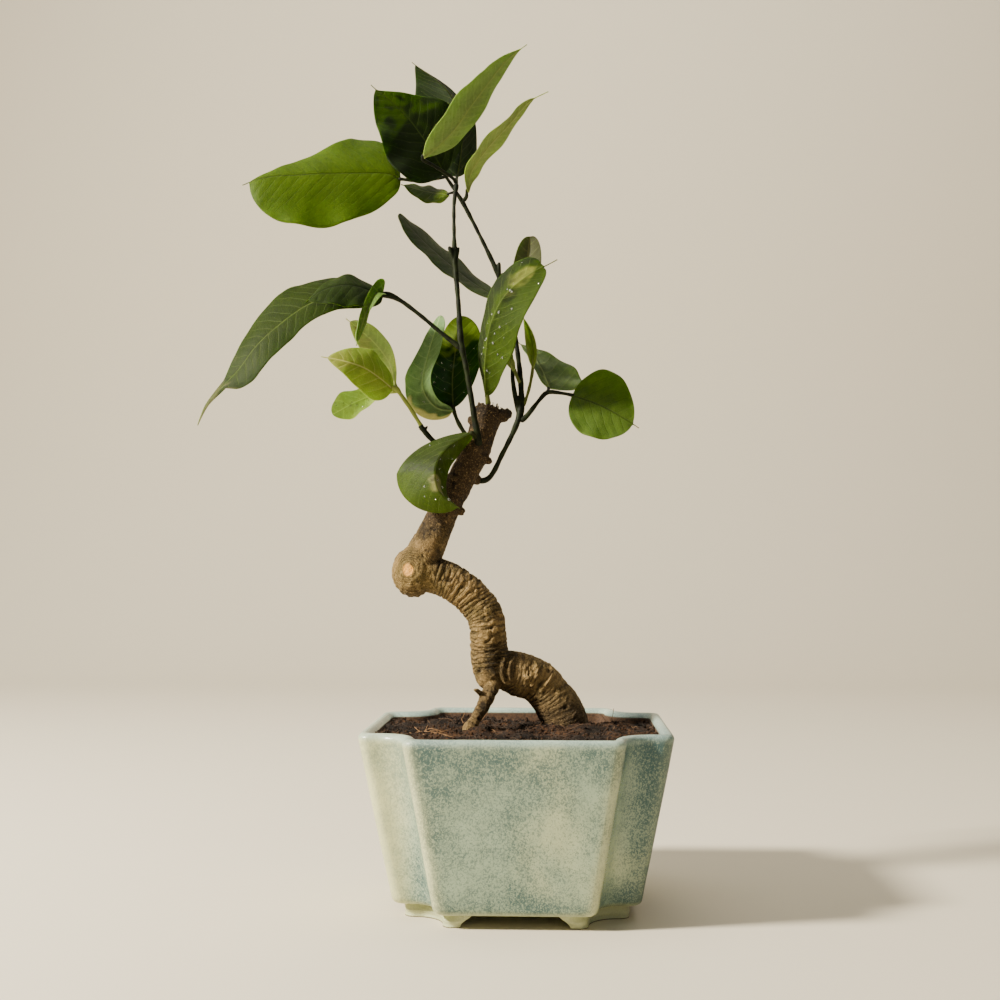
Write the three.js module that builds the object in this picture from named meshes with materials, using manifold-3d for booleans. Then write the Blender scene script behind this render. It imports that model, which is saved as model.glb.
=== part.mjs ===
import * as THREE from "three";
import { mergeVertices } from "three/addons/utils/BufferGeometryUtils.js";
import Module from "manifold-3d";

// A small semi-cascade bonsai of a pongam tree in a square glazed pot with notched corners.
// Millimetres, +Z up, the front of the pot towards -Y. The middle of the pot's foot is the
// origin while the shapes are made; the whole is moved at the end so that its own box stands
// on the origin.

const wasm = await Module();
wasm.setup();

// Driving sizes

const POT_RIM = 66.3; // half the width over the rim
const POT_BASE = 52.4; // half the width of the body at its bottom edge
const NOTCH_RIM = 45.5; // distance of the notch faces from the middle, at the rim
const NOTCH_BASE = 33.5; // the same at the bottom edge
const POT_HEIGHT = 78.6;
const WALL = 5;
const FOOT_HEIGHT = 6;
const FOOT_HALF = 47.5;
const FOOT_NOTCH = 30;
const FOOT_WIDTH = 6.5;
const EDGE_TUCK = 2.4; // how far the bottom edge of the body is drawn in over the feet
const RIDGE = 5; // how far the vertical ridges are rounded off
const COVE = 14; // how far the hollow of each notch reaches from its inner corner
const FOOT_COVE = 12.6; // the same at the feet
const FLOOR_TOP = 11;
const FLOOR_ROUND = 2.2; // how far the inner bottom corner is rounded off
const LIP_TOP = 77.2; // where the rounding of the rim begins
const ARCH_BOTTOM = 22.5; // half the arch between two feet, at the ground
const ARCH_TOP = 17.8;
const ARCH_HEIGHT = 5.6;
const DRAIN_RADIUS = 9;
const GAP = 0.3; // left between two pieces that touch
const NET_SIZE = 24;
const NET_THICK = 0.8;
const NET_HOLE = 3.4;
const NET_PITCH = 5.2;
const NET_Z = FLOOR_TOP + GAP;
const SOIL_LEVEL = 75.6; // height of the soil in the middle of the pot
const SOIL_FALL = 0.02; // how much the soil falls for each millimetre towards the back
const BARK_FROM = 84; // the relief of the bark fades out below this height, in the soil
const KNOB = [-46.4, -5, 145.6]; // middle of the knob with the pruning scar
const SCAR = [-47.8, -13.2, 146.6]; // middle of the scar's face
const CUT_TOP = [-12.4, 0, 217.6]; // middle of the torn cut at the top of the trunk
const BLADE_THICK = 0.85;
const RIB_DEPTH = 0.7; // how far the rib stands out under the base of a blade

// Materials

const material = (color, roughness) =>
  new THREE.MeshStandardMaterial({ color, roughness, metalness: 0 });
const GLAZE = material(0xa9bfb0, 0.25);
const BARK = material(0x8a6f4a, 0.85);
const EARTH = material(0x3a2a1e, 0.95);
const NET = material(0x22332a, 0.6);
const GREEN_BARK = material(0x3e4a26, 0.6);
const LEAF_GREEN = material(0x55772a, 0.5);
const LEAF_DARK = material(0x344a22, 0.5);
const LEAF_PALE = material(0x7d9455, 0.5);
const LEAF_YELLOW = material(0x9ba54e, 0.5);

// Solids from geometry

function solid(geometry) {
  const bare = geometry.clone();
  bare.deleteAttribute("normal");
  bare.deleteAttribute("uv");
  const merged = mergeVertices(bare, 1e-4);
  const made = new wasm.Manifold(
    new wasm.Mesh({
      numProp: 3,
      vertProperties: new Float32Array(merged.attributes.position.array),
      triVerts: new Uint32Array(merged.index.array),
    }),
  );
  return made;
}

const fuse = (solids) => solids.reduce((all, one) => all.add(one));

// The largest piece of what is left of a body once its neighbours, grown by the gap, are cut off.
function seated(body, ...neighbours) {
  const left = neighbours.reduce((rest, one) => rest.subtract(one), body);
  return left.decompose().sort((a, b) => b.volume() - a.volume())[0];
}

const box = (w, d, h, x, y, z) =>
  solid(new THREE.BoxGeometry(w, d, h).translate(x, y, z));

// A repeatable random number from 0 to 1 for a whole number.
const chance = (n) => {
  const v = Math.sin(n * 127.1 + 11.7) * 43758.5453;
  return v - Math.floor(v);
};

// Pot

// The rim's outline: a square with a square notch at each corner, its ridges and its inner
// corner rounded.
function notchedOutline(half, notch, ridge, cove) {
  const shape = new THREE.Shape();
  const turn = ([x, y], quarter) => {
    const c = [1, 0, -1, 0][quarter];
    const s = [0, 1, 0, -1][quarter];
    return [x * c - y * s, x * s + y * c];
  };
  for (let quarter = 0; quarter < 4; quarter++) {
    const at = (x, y) => turn([x, y], quarter);
    const start = at(notch - ridge, -half);
    if (quarter) shape.lineTo(...start);
    else shape.moveTo(...start);
    shape.quadraticCurveTo(...at(notch, -half), ...at(notch, ridge - half));
    shape.lineTo(...at(notch, -notch - cove));
    shape.quadraticCurveTo(...at(notch, -notch), ...at(notch + cove, -notch));
    shape.lineTo(...at(half - ridge, -notch));
    shape.quadraticCurveTo(...at(half, -notch), ...at(half, ridge - notch));
  }
  return shape;
}

// A body whose outline is carried up through rows of [z, half width, notch distance].
function notchedBody(rows, ridge, cove) {
  const [, half, notch] = rows[rows.length - 1];
  const geometry = new THREE.ExtrudeGeometry(
    notchedOutline(half, notch, ridge, cove),
    { depth: 1, steps: rows.length - 1, bevelEnabled: false, curveSegments: 3 },
  );
  const p = geometry.attributes.position;
  const move = (c, row) => {
    const a = Math.abs(c);
    const inner = (Math.min(a, notch) * row[2]) / notch;
    const outer =
      (Math.max(a - notch, 0) * (row[1] - row[2])) / (half - notch);
    return Math.sign(c) * (inner + outer);
  };
  for (let i = 0; i < p.count; i++) {
    const row = rows[Math.round(p.getZ(i) * (rows.length - 1))];
    p.setXYZ(i, move(p.getX(i), row), move(p.getY(i), row), row[0]);
  }
  return solid(geometry);
}

// The half width and the notch of the straight wall at a height, moved in by an inset.
const wallAt = (z, inset = 0) => {
  const t = (z - FOOT_HEIGHT) / (POT_HEIGHT - FOOT_HEIGHT);
  return [
    z,
    POT_BASE + (POT_RIM - POT_BASE) * t - inset,
    NOTCH_BASE + (NOTCH_RIM - NOTCH_BASE) * t - inset,
  ];
};

function archSolid(along) {
  const side = new THREE.Shape();
  side.moveTo(-ARCH_BOTTOM - 0.6, -1);
  side.lineTo(-ARCH_BOTTOM, 0);
  side.quadraticCurveTo(-ARCH_TOP - 1, 1.4, -ARCH_TOP, ARCH_HEIGHT);
  side.lineTo(ARCH_TOP, ARCH_HEIGHT);
  side.quadraticCurveTo(ARCH_TOP + 1, 1.4, ARCH_BOTTOM, 0);
  side.lineTo(ARCH_BOTTOM + 0.6, -1);
  const geometry = new THREE.ExtrudeGeometry(side, {
    depth: 4 * POT_RIM,
    bevelEnabled: false,
    curveSegments: 6,
  });
  geometry.translate(0, 0, -2 * POT_RIM).rotateX(Math.PI / 2);
  if (along) geometry.rotateZ(Math.PI / 2);
  return solid(geometry);
}

function makePot() {
  const body = notchedBody(
    [
      wallAt(FOOT_HEIGHT - 0.4, EDGE_TUCK),
      wallAt(FOOT_HEIGHT + 0.3, EDGE_TUCK * 0.3),
      wallAt(FOOT_HEIGHT + 1.8, 0.1),
      wallAt(POT_HEIGHT / 2),
      wallAt(LIP_TOP - 3.2),
      wallAt(LIP_TOP - 1.2, -0.1),
      wallAt(LIP_TOP, 0.3),
      wallAt(POT_HEIGHT, 1.6),
    ],
    RIDGE,
    COVE,
  );
  const feet = notchedBody(
    [
      [0, FOOT_HALF - 0.7, FOOT_NOTCH - 0.7],
      [1, FOOT_HALF, FOOT_NOTCH],
      [FOOT_HEIGHT + 0.5, FOOT_HALF + 0.4, FOOT_NOTCH + 0.4],
    ],
    RIDGE - 0.4,
    FOOT_COVE,
  );
  const under = notchedBody(
    [
      [-1, FOOT_HALF - FOOT_WIDTH, FOOT_NOTCH - FOOT_WIDTH],
      [FOOT_HEIGHT, FOOT_HALF - FOOT_WIDTH, FOOT_NOTCH - FOOT_WIDTH],
    ],
    RIDGE - 2,
    FOOT_COVE + 1,
  );
  const inside = notchedBody(
    [
      wallAt(FLOOR_TOP, WALL + FLOOR_ROUND),
      wallAt(FLOOR_TOP + 1.5, WALL + 0.4),
      wallAt(FLOOR_TOP + 4, WALL),
      wallAt(LIP_TOP - 1.6, WALL),
      wallAt(LIP_TOP, WALL - 0.6),
      wallAt(POT_HEIGHT, WALL - 1.9),
      wallAt(POT_HEIGHT + 1, WALL - 3),
    ],
    RIDGE - 1,
    COVE + 1,
  );
  const drain = solid(
    new THREE.CylinderGeometry(DRAIN_RADIUS, DRAIN_RADIUS, 20, 24)
      .rotateX(Math.PI / 2)
      .translate(0, 0, FLOOR_TOP - 3),
  );
  const outer = body
    .add(feet)
    .subtract(archSolid(false))
    .subtract(archSolid(true));
  return outer.subtract(under).subtract(inside).subtract(drain);
}

// Net over the drain hole

function makeNet() {
  const holes = [];
  const middle = NET_Z + NET_THICK / 2;
  for (let i = -1.5; i <= 1.5; i++) {
    for (let j = -1.5; j <= 1.5; j++) {
      const x = i * NET_PITCH;
      const y = j * NET_PITCH;
      holes.push(box(NET_HOLE, NET_HOLE, 4 * NET_THICK, x, y, middle));
    }
  }
  const plate = box(NET_SIZE, NET_SIZE, NET_THICK, 0, 0, middle);
  return plate.subtract(fuse(holes));
}

// Limbs: round tapering stems bent along a curve. A node is [x, y, z, radius].

function limb(nodes, sides, steps, extra = 0, relief = 0) {
  const curve = new THREE.CatmullRomCurve3(
    nodes.map(([x, y, z]) => new THREE.Vector3(x, y, z)),
    false,
    "centripetal",
  );
  const radii = nodes.map((node) => node[3]);
  const radiusAt = (t) => {
    const at = t * (radii.length - 1);
    const i = Math.min(Math.floor(at), radii.length - 2);
    const u = at - i;
    const smooth = u * u * (3 - 2 * u);
    return radii[i] + (radii[i + 1] - radii[i]) * smooth;
  };
  const rings = [];
  let across = new THREE.Vector3(1, 0.02, 0.03);
  for (let i = 0; i <= steps; i++) {
    const t = i / steps;
    const centre = curve.getPoint(t);
    const forward = curve.getTangent(t);
    across = across.clone().addScaledVector(forward, -across.dot(forward));
    across.normalize();
    const third = new THREE.Vector3().crossVectors(forward, across);
    const end = i === 0 ? -extra : i === steps ? extra : 0;
    centre.addScaledVector(forward, end);
    rings.push({ centre, across, third, radius: radiusAt(t) + extra });
  }
  const geometry = new THREE.CylinderGeometry(1, 1, 1, sides, steps);
  const p = geometry.attributes.position;
  for (let i = 0; i < p.count; i++) {
    const row = Math.round((p.getY(i) + 0.5) * steps);
    const { centre, across: a, third, radius } = rings[row];
    const angle = Math.atan2(p.getX(i), p.getZ(i));
    const bump =
      Math.sin(row * 2.4 + Math.sin(angle * 2)) +
      0.8 * Math.sin(angle * 3 + row * 0.7);
    const fade = Math.min(1, Math.max(0, (centre.z - BARK_FROM) / 8));
    const r = radius + relief * bump * fade;
    const q = centre
      .clone()
      .addScaledVector(third, p.getX(i) * r)
      .addScaledVector(a, p.getZ(i) * r);
    p.setXYZ(i, q.x, q.y, q.z);
  }
  return solid(geometry);
}

// A rounded lump: its middle, its three half widths, and how much it is grown.
function ball(middle, reach, extra, detail) {
  const [rx, ry, rz] = reach.map((r) => r + extra);
  const sphere = new THREE.SphereGeometry(1, detail, Math.round(detail / 2));
  sphere.rotateX(Math.PI / 2).scale(rx, ry, rz);
  return solid(sphere.translate(...middle));
}

// Trunk: a thick leaning base, an upright bend, a knob with a pruning scar, and the upper part
// cut off short, with a prop root in front and the stubs of lost twigs.

const BASE = [
  [22.6, 9.5, 60, 9.6],
  [21.8, 9.2, 70, 10.4],
  [20.4, 9, 78, 10.8],
  [17.6, 8.5, 84.5, 10.1],
  [13.2, 8, 91, 9.6],
  [8.2, 7, 96, 9.8],
  [0.4, 5, 99.4, 9.9],
  [-6.8, 3, 101.5, 9],
  [-12, 1.5, 104, 6.5],
];
const BEND = [
  [-8.5, 2, 97, 7],
  [-11.4, 1.5, 101, 8.5],
  [-12.8, 0.5, 107, 8.5],
  [-13.2, 0, 113, 8.4],
  [-13.7, -1, 119, 8.3],
  [-14.8, -1, 125.5, 8.2],
  [-18.4, -1, 131.3, 8.1],
  [-23.6, -2, 136.6, 8.1],
  [-29.6, -3, 140.8, 8.1],
  [-36.6, -4, 143.6, 8.3],
  [-43, -5, 145.2, 8],
];
const UPPER = [
  [-45, -5, 147.5, 8.4],
  [-41.6, -4.4, 154.2, 8.1],
  [-38.6, -4, 160, 7.5],
  [-35.8, -3.4, 167.2, 6.9],
  [-32.2, -2.8, 175.3, 6.7],
  [-27.9, -2, 183, 6.4],
  [-23.5, -1, 191.2, 6.2],
  [-19.6, 0, 199.4, 6.8],
  [-16.8, 0, 207, 6.2],
  [-14.6, 0, 213.8, 6.6],
  [-12.4, 0, 219.8, 6.1],
];
const PROP_ROOT = [
  [-8.5, 2, 103, 4.6],
  [-11, -3, 95.6, 3.5],
  [-13.3, -7, 90.6, 3.1],
  [-15.6, -11, 85.8, 2.8],
  [-18.4, -15, 81, 2.7],
  [-20.8, -17.8, 77, 3.1],
  [-21.6, -18.8, 70, 2.6],
  [-22, -19.2, 64, 2],
];

function makeTrunk(extra) {
  const parts = [
    limb(BASE, 10, 13, extra, 0.2),
    limb(BEND, 10, 16, extra, 0.22),
    limb(UPPER, 9, 16, extra, 0.22),
    limb(PROP_ROOT, 7, 10, extra, 0.12),
    ball(KNOB, [10, 9.6, 11.4], extra, 12),
    ball([-13.8, 0.5, 100], [5.6, 7, 7.4], extra, 10),
    // bumps where twigs broke off, and the stubs at the top
    ball([-13.6, 0, 195.4], [2, 2, 1.7], extra, 6),
    ball([-25.4, -3, 172.6], [2, 2.2, 2], extra, 6),
    limb(
      [
        [-10, 0, 215, 3.6],
        [-4.6, -0.6, 216.4, 3],
        [-2.6, -0.8, 216.2, 2.2],
      ],
      8,
      4,
      extra,
    ),
    limb(
      [
        [-16, -1, 208.5, 3.2],
        [-20.6, -2, 213, 2.1],
        [-22.4, -2.6, 215.2, 1.5],
      ],
      7,
      4,
      extra,
    ),
    limb(
      [
        [-14.2, -8, 90, 1.6],
        [-17.4, -10.4, 93, 1.2],
        [-19.2, -12, 93.9, 0.6],
      ],
      6,
      4,
      extra,
    ),
  ];
  // the torn crown of the upper cut: short splinters round its edge
  const splinters = 5;
  const [cutX, cutY, cutZ] = CUT_TOP;
  for (let i = 0; i < splinters; i++) {
    const angle = (i / splinters) * 2 * Math.PI;
    const tall = 2.2 + 2.4 * chance(i);
    const wide = 1.9 + 2 * extra;
    const cone = new THREE.ConeGeometry(wide, tall + 4 + 4 * extra, 4);
    const x = cutX + 3.9 * Math.cos(angle);
    const y = cutY + 3.9 * Math.sin(angle);
    cone.rotateX(Math.PI / 2).translate(x, y, cutZ + tall / 2);
    parts.push(solid(cone));
  }
  // the pruning scar: a low ring of healed bark round a slightly sunk face
  const ring = new THREE.TorusGeometry(4.9, 1.1 + extra, 5, 14);
  ring.rotateX(Math.PI / 2).rotateZ(-0.16).translate(...SCAR);
  parts.push(solid(ring));
  return fuse(parts);
}

// Soil, heaped a little round the trunk and sunk at the back right

// A round heap one unit high whose height falls away from its middle.
const heaped = (x, y, middleX, middleY, reach) =>
  Math.exp(-((x - middleX) ** 2 + (y - middleY) ** 2) / reach ** 2);

function soilHeight(x, y) {
  const rough =
    0.45 * Math.sin(x * 0.31 + 1.3 * Math.sin(y * 0.23)) +
    0.35 * Math.sin(y * 0.47 + 1.1 * Math.sin(x * 0.37)) +
    0.2 * Math.sin(x * 0.9 + y * 0.7);
  return (
    SOIL_LEVEL -
    y * SOIL_FALL +
    rough +
    3 * heaped(x, y, 22, 8, 20) +
    1.6 * heaped(x, y, -22, -17, 12) -
    3.6 * heaped(x, y, 24, 62, 30)
  );
}

function makeSoil() {
  const column = notchedBody(
    [
      wallAt(FLOOR_TOP + GAP, WALL + FLOOR_ROUND + 2 * GAP),
      wallAt(FLOOR_TOP + 4.5, WALL + GAP + 0.1),
      wallAt(SOIL_LEVEL, WALL + GAP),
      wallAt(SOIL_LEVEL + 8, WALL + GAP),
    ],
    RIDGE - 1,
    COVE + 1,
  );
  const cells = 16;
  const wide = 2.2 * POT_RIM;
  const geometry = new THREE.BoxGeometry(wide, wide, 1, cells, cells, 1);
  const p = geometry.attributes.position;
  for (let i = 0; i < p.count; i++) {
    const top = p.getZ(i) > 0;
    p.setZ(i, top ? soilHeight(p.getX(i), p.getY(i)) : 0);
  }
  const room = NET_SIZE + 2 * GAP;
  const netPocket = box(room, room, 4, 0, 0, NET_Z + NET_THICK + GAP - 2);
  const holes = [
    limb(BASE.slice(0, 6), 10, 8, GAP + 0.4),
    limb(PROP_ROOT.slice(2), 7, 6, GAP + 0.4),
  ];
  // thin dry rootlets and twigs lying half sunk in the surface
  const litter = [];
  const lay = (x, y, length, angle, lift, radius) => {
    const dx = Math.cos(angle) * length;
    const dy = Math.sin(angle) * length;
    const ends = [
      [x, y, soilHeight(x, y) - 0.5, radius],
      [x + dx / 2, y + dy / 2, soilHeight(x + dx / 2, y + dy / 2) + 0.3, radius],
      [x + dx, y + dy, soilHeight(x + dx, y + dy) + lift, radius * 0.7],
    ];
    litter.push(limb(ends, 4, 3));
  };
  lay(-30, -24, 17, 2.75, 0.6, 0.55);
  lay(-34, -22, 15, 2.35, 1.8, 0.5);
  lay(-47, -16, 12, 0.3, 1.2, 0.5);
  lay(-12, -14, 9, -0.8, 0.6, 0.6);
  lay(30, 34, 6, 0.6, 5.4, 0.5);
  lay(-16, 30, 12, 0.8, 5, 0.45);
  lay(40, -10, 9, 1.2, 0.8, 0.5);
  const crumbs = [];
  for (let i = 0; i < 6; i++) {
    const x = -48 + 96 * chance(i + 40);
    const y = -48 + 96 * chance(i + 80);
    const size = 1.1 + 1.3 * chance(i + 120);
    if (Math.abs(x) > 38 && Math.abs(y) > 38) continue;
    const reach = [size, size * 0.8, size * 0.7];
    crumbs.push(ball([x, y, soilHeight(x, y) + 0.1], reach, 0, 6));
  }
  const heap = column.intersect(solid(geometry));
  const dressed = fuse([heap, ...litter, ...crumbs]);
  return seated(dressed, netPocket, ...holes);
}

// Leaf blades. A blade hangs on its rib, a list of points from base to tip; a and b are the
// half widths to its two sides as vectors, one or more from base to tip; peak moves the widest
// place towards the tip, full rounds the ends, and drip is the share of the narrow drip tip.
// tail widens the drip tip by that many millimetres to each side, for one that has dried out.

const vectors = (list) => list.map((v) => new THREE.Vector3(...v));

function mixed(list, s) {
  const at = s * (list.length - 1);
  const i = Math.min(Math.floor(at), Math.max(list.length - 2, 0));
  const next = list[Math.min(i + 1, list.length - 1)];
  return list[i].clone().lerp(next, at - i);
}

// The direction the upper face looks in, midway between the normals of the two halves.
function facing(forward, va, vb) {
  const ofA = new THREE.Vector3().crossVectors(va, forward).normalize();
  const ofB = new THREE.Vector3().crossVectors(forward, vb).normalize();
  return ofA.add(ofB).normalize();
}

function widthShare(s, [peak, full], drip) {
  const u = Math.min(s / (1 - drip), 1);
  return Math.sin(Math.PI * u ** peak) ** full;
}

function bladeSolid(spec) {
  const { rib, a, b, drip = 0.06, curl = 0.12, wave = 0.05, waves = 3 } = spec;
  const { shapeA = [0.8, 0.75], shapeB = [0.8, 0.75], rows = 8, tail = 0 } = spec;
  const curve = new THREE.CatmullRomCurve3(vectors(rib), false, "centripetal");
  const sideA = vectors(a);
  const sideB = vectors(b);
  const across = 4;
  const top = new THREE.PlaneGeometry(1, 1, across, rows);
  const p = top.attributes.position;
  const count = p.count;
  const low = [];
  for (let i = 0; i < count; i++) {
    const s = 0.5 - p.getY(i);
    const tau = p.getX(i) * 2;
    const centre = curve.getPointAt(s);
    const forward = curve.getTangentAt(s);
    const va = mixed(sideA, s);
    const vb = mixed(sideB, s);
    const side = tau < 0 ? va : vb;
    const shape = tau < 0 ? shapeA : shapeB;
    const least = (0.5 + tail * (1 - s)) / side.length();
    const share = Math.max(widthShare(s, shape, drip), least);
    const t = Math.abs(tau);
    const up = facing(forward, va, vb);
    const ripple =
      wave * Math.sin(2 * Math.PI * waves * s + (tau < 0 ? 0 : 2)) - curl;
    const lift = share > least ? ripple * side.length() * share * t * t : 0;
    const q = centre
      .clone()
      .addScaledVector(side, share * t)
      .addScaledVector(up, lift);
    p.setXYZ(i, q.x, q.y, q.z);
    const rib = tau ? 0 : RIB_DEPTH * (1 - s);
    low.push(q.addScaledVector(up, -BLADE_THICK - rib));
  }
  const points = [...p.array];
  for (const q of low) points.push(q.x, q.y, q.z);
  const faces = [];
  const index = top.index.array;
  for (let i = 0; i < index.length; i += 3) {
    const [x, y, z] = [index[i], index[i + 1], index[i + 2]];
    faces.push(x, y, z, x + count, z + count, y + count);
  }
  const wide = across + 1;
  const edge = [];
  for (let i = 0; i < across; i++) edge.push(i);
  for (let j = 0; j < rows; j++) edge.push(j * wide + across);
  for (let i = across; i > 0; i--) edge.push(rows * wide + i);
  for (let j = rows; j > 0; j--) edge.push(j * wide);
  edge.forEach((from, i) => {
    const to = edge[(i + 1) % edge.length];
    faces.push(from, to, from + count, to, to + count, from + count);
  });
  const geometry = new THREE.BufferGeometry()
    .setAttribute("position", new THREE.Float32BufferAttribute(points, 3))
    .setIndex(faces);
  return solid(geometry);
}

const leafSolid = (stalks, blades) =>
  fuse([
    ...stalks.map((nodes) => limb(nodes, 5, nodes.length + 2)),
    ...blades.map(bladeSolid),
  ]);

// Green shoots

const FRONT_SHOOT = [
  [-19.5, -2, 196, 2],
  [-17.6, -7.2, 203, 1.6],
  [-19.2, -9.4, 213.4, 1.35],
  [-21.1, -10.8, 226, 1.25],
  [-23.3, -11, 238.5, 1.2],
  [-25, -11, 246.2, 1.5],
  [-26.5, -10, 266.6, 1.05],
  [-28, -9, 284.4, 1.4],
  [-28.5, -8, 298.3, 0.85],
  [-28.7, -6, 311, 0.85],
  [-28, -4, 319.4, 1.2],
];
const FRONT_STUBS = [
  [
    [-28.2, -9, 284, 1.1],
    [-29.6, -9.6, 287.6, 1],
    [-30.6, -10, 291, 0.9],
  ],
  [
    [-27.6, -9, 285, 1],
    [-26.9, -8.6, 288, 0.8],
    [-26.3, -8, 291, 0.5],
  ],
];
const RIGHT_SHOOT = [
  [-22, 2, 188.4, 1.7],
  [-17, 1.6, 186.4, 1.4],
  [-13.6, 1, 187.4, 1.3],
  [-10.8, 0.2, 191, 1.2],
  [-7.6, -1.2, 197.4, 1.15],
  [-4, -3, 204.1, 1.15],
  [-0.6, -4.4, 211.3, 1.35],
  [1.3, -3, 218.2, 1.7],
  [1.3, 0, 229, 1.3],
  [0, 3, 242, 1.15],
  [-2, 5, 255.6, 1.05],
  [-4.8, 7, 267.5, 1],
  [-7.2, 8, 275, 1],
  [-9.9, 8, 283.1, 1.2],
  [-19, 6, 302.2, 0.85],
  [-25.2, 4, 314.1, 1.1],
];
const RIGHT_STUBS = [
  [
    [-9, 8, 280.4, 1.1],
    [-9, 7.6, 284, 1],
    [-8.9, 7, 287.5, 0.8],
  ],
  [
    [0.8, -3, 216, 1.5],
    [-1.2, -2.6, 224, 1.2],
    [-2.4, -1.6, 232, 1],
    [-2.6, -0.6, 239, 0.9],
    [-3.3, -0.6, 245.5, 0.7],
  ],
];
const LEFT_SHOOT = [
  [-23, -1, 196.4, 1.5],
  [-30.4, -3.6, 199.4, 1.3],
  [-33.8, -5.2, 201.2, 1.3],
  [-37.8, -7.4, 203.9, 1.2],
  [-40.8, -9, 207.1, 1.2],
  [-42.5, -10, 209.4, 1.3],
];
const LEFT_STUBS = [
  [
    [-41.6, -9.4, 208, 0.8],
    [-42.8, -9.2, 208.6, 0.6],
    [-43.9, -9, 208.9, 0.4],
  ],
  [
    [-41.6, -9.6, 208.2, 0.8],
    [-40.6, -9.8, 209.4, 0.6],
    [-40, -10, 210.3, 0.4],
  ],
];

const shootSolid = (nodes, stubs, extra) =>
  fuse([
    limb(nodes, 6, Math.round(nodes.length * 1.6), extra),
    ...stubs.map((one) => limb(one, 5, one.length, extra)),
  ]);

// Compound leaves. Each entry: its stalks, and its leaflets.

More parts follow.
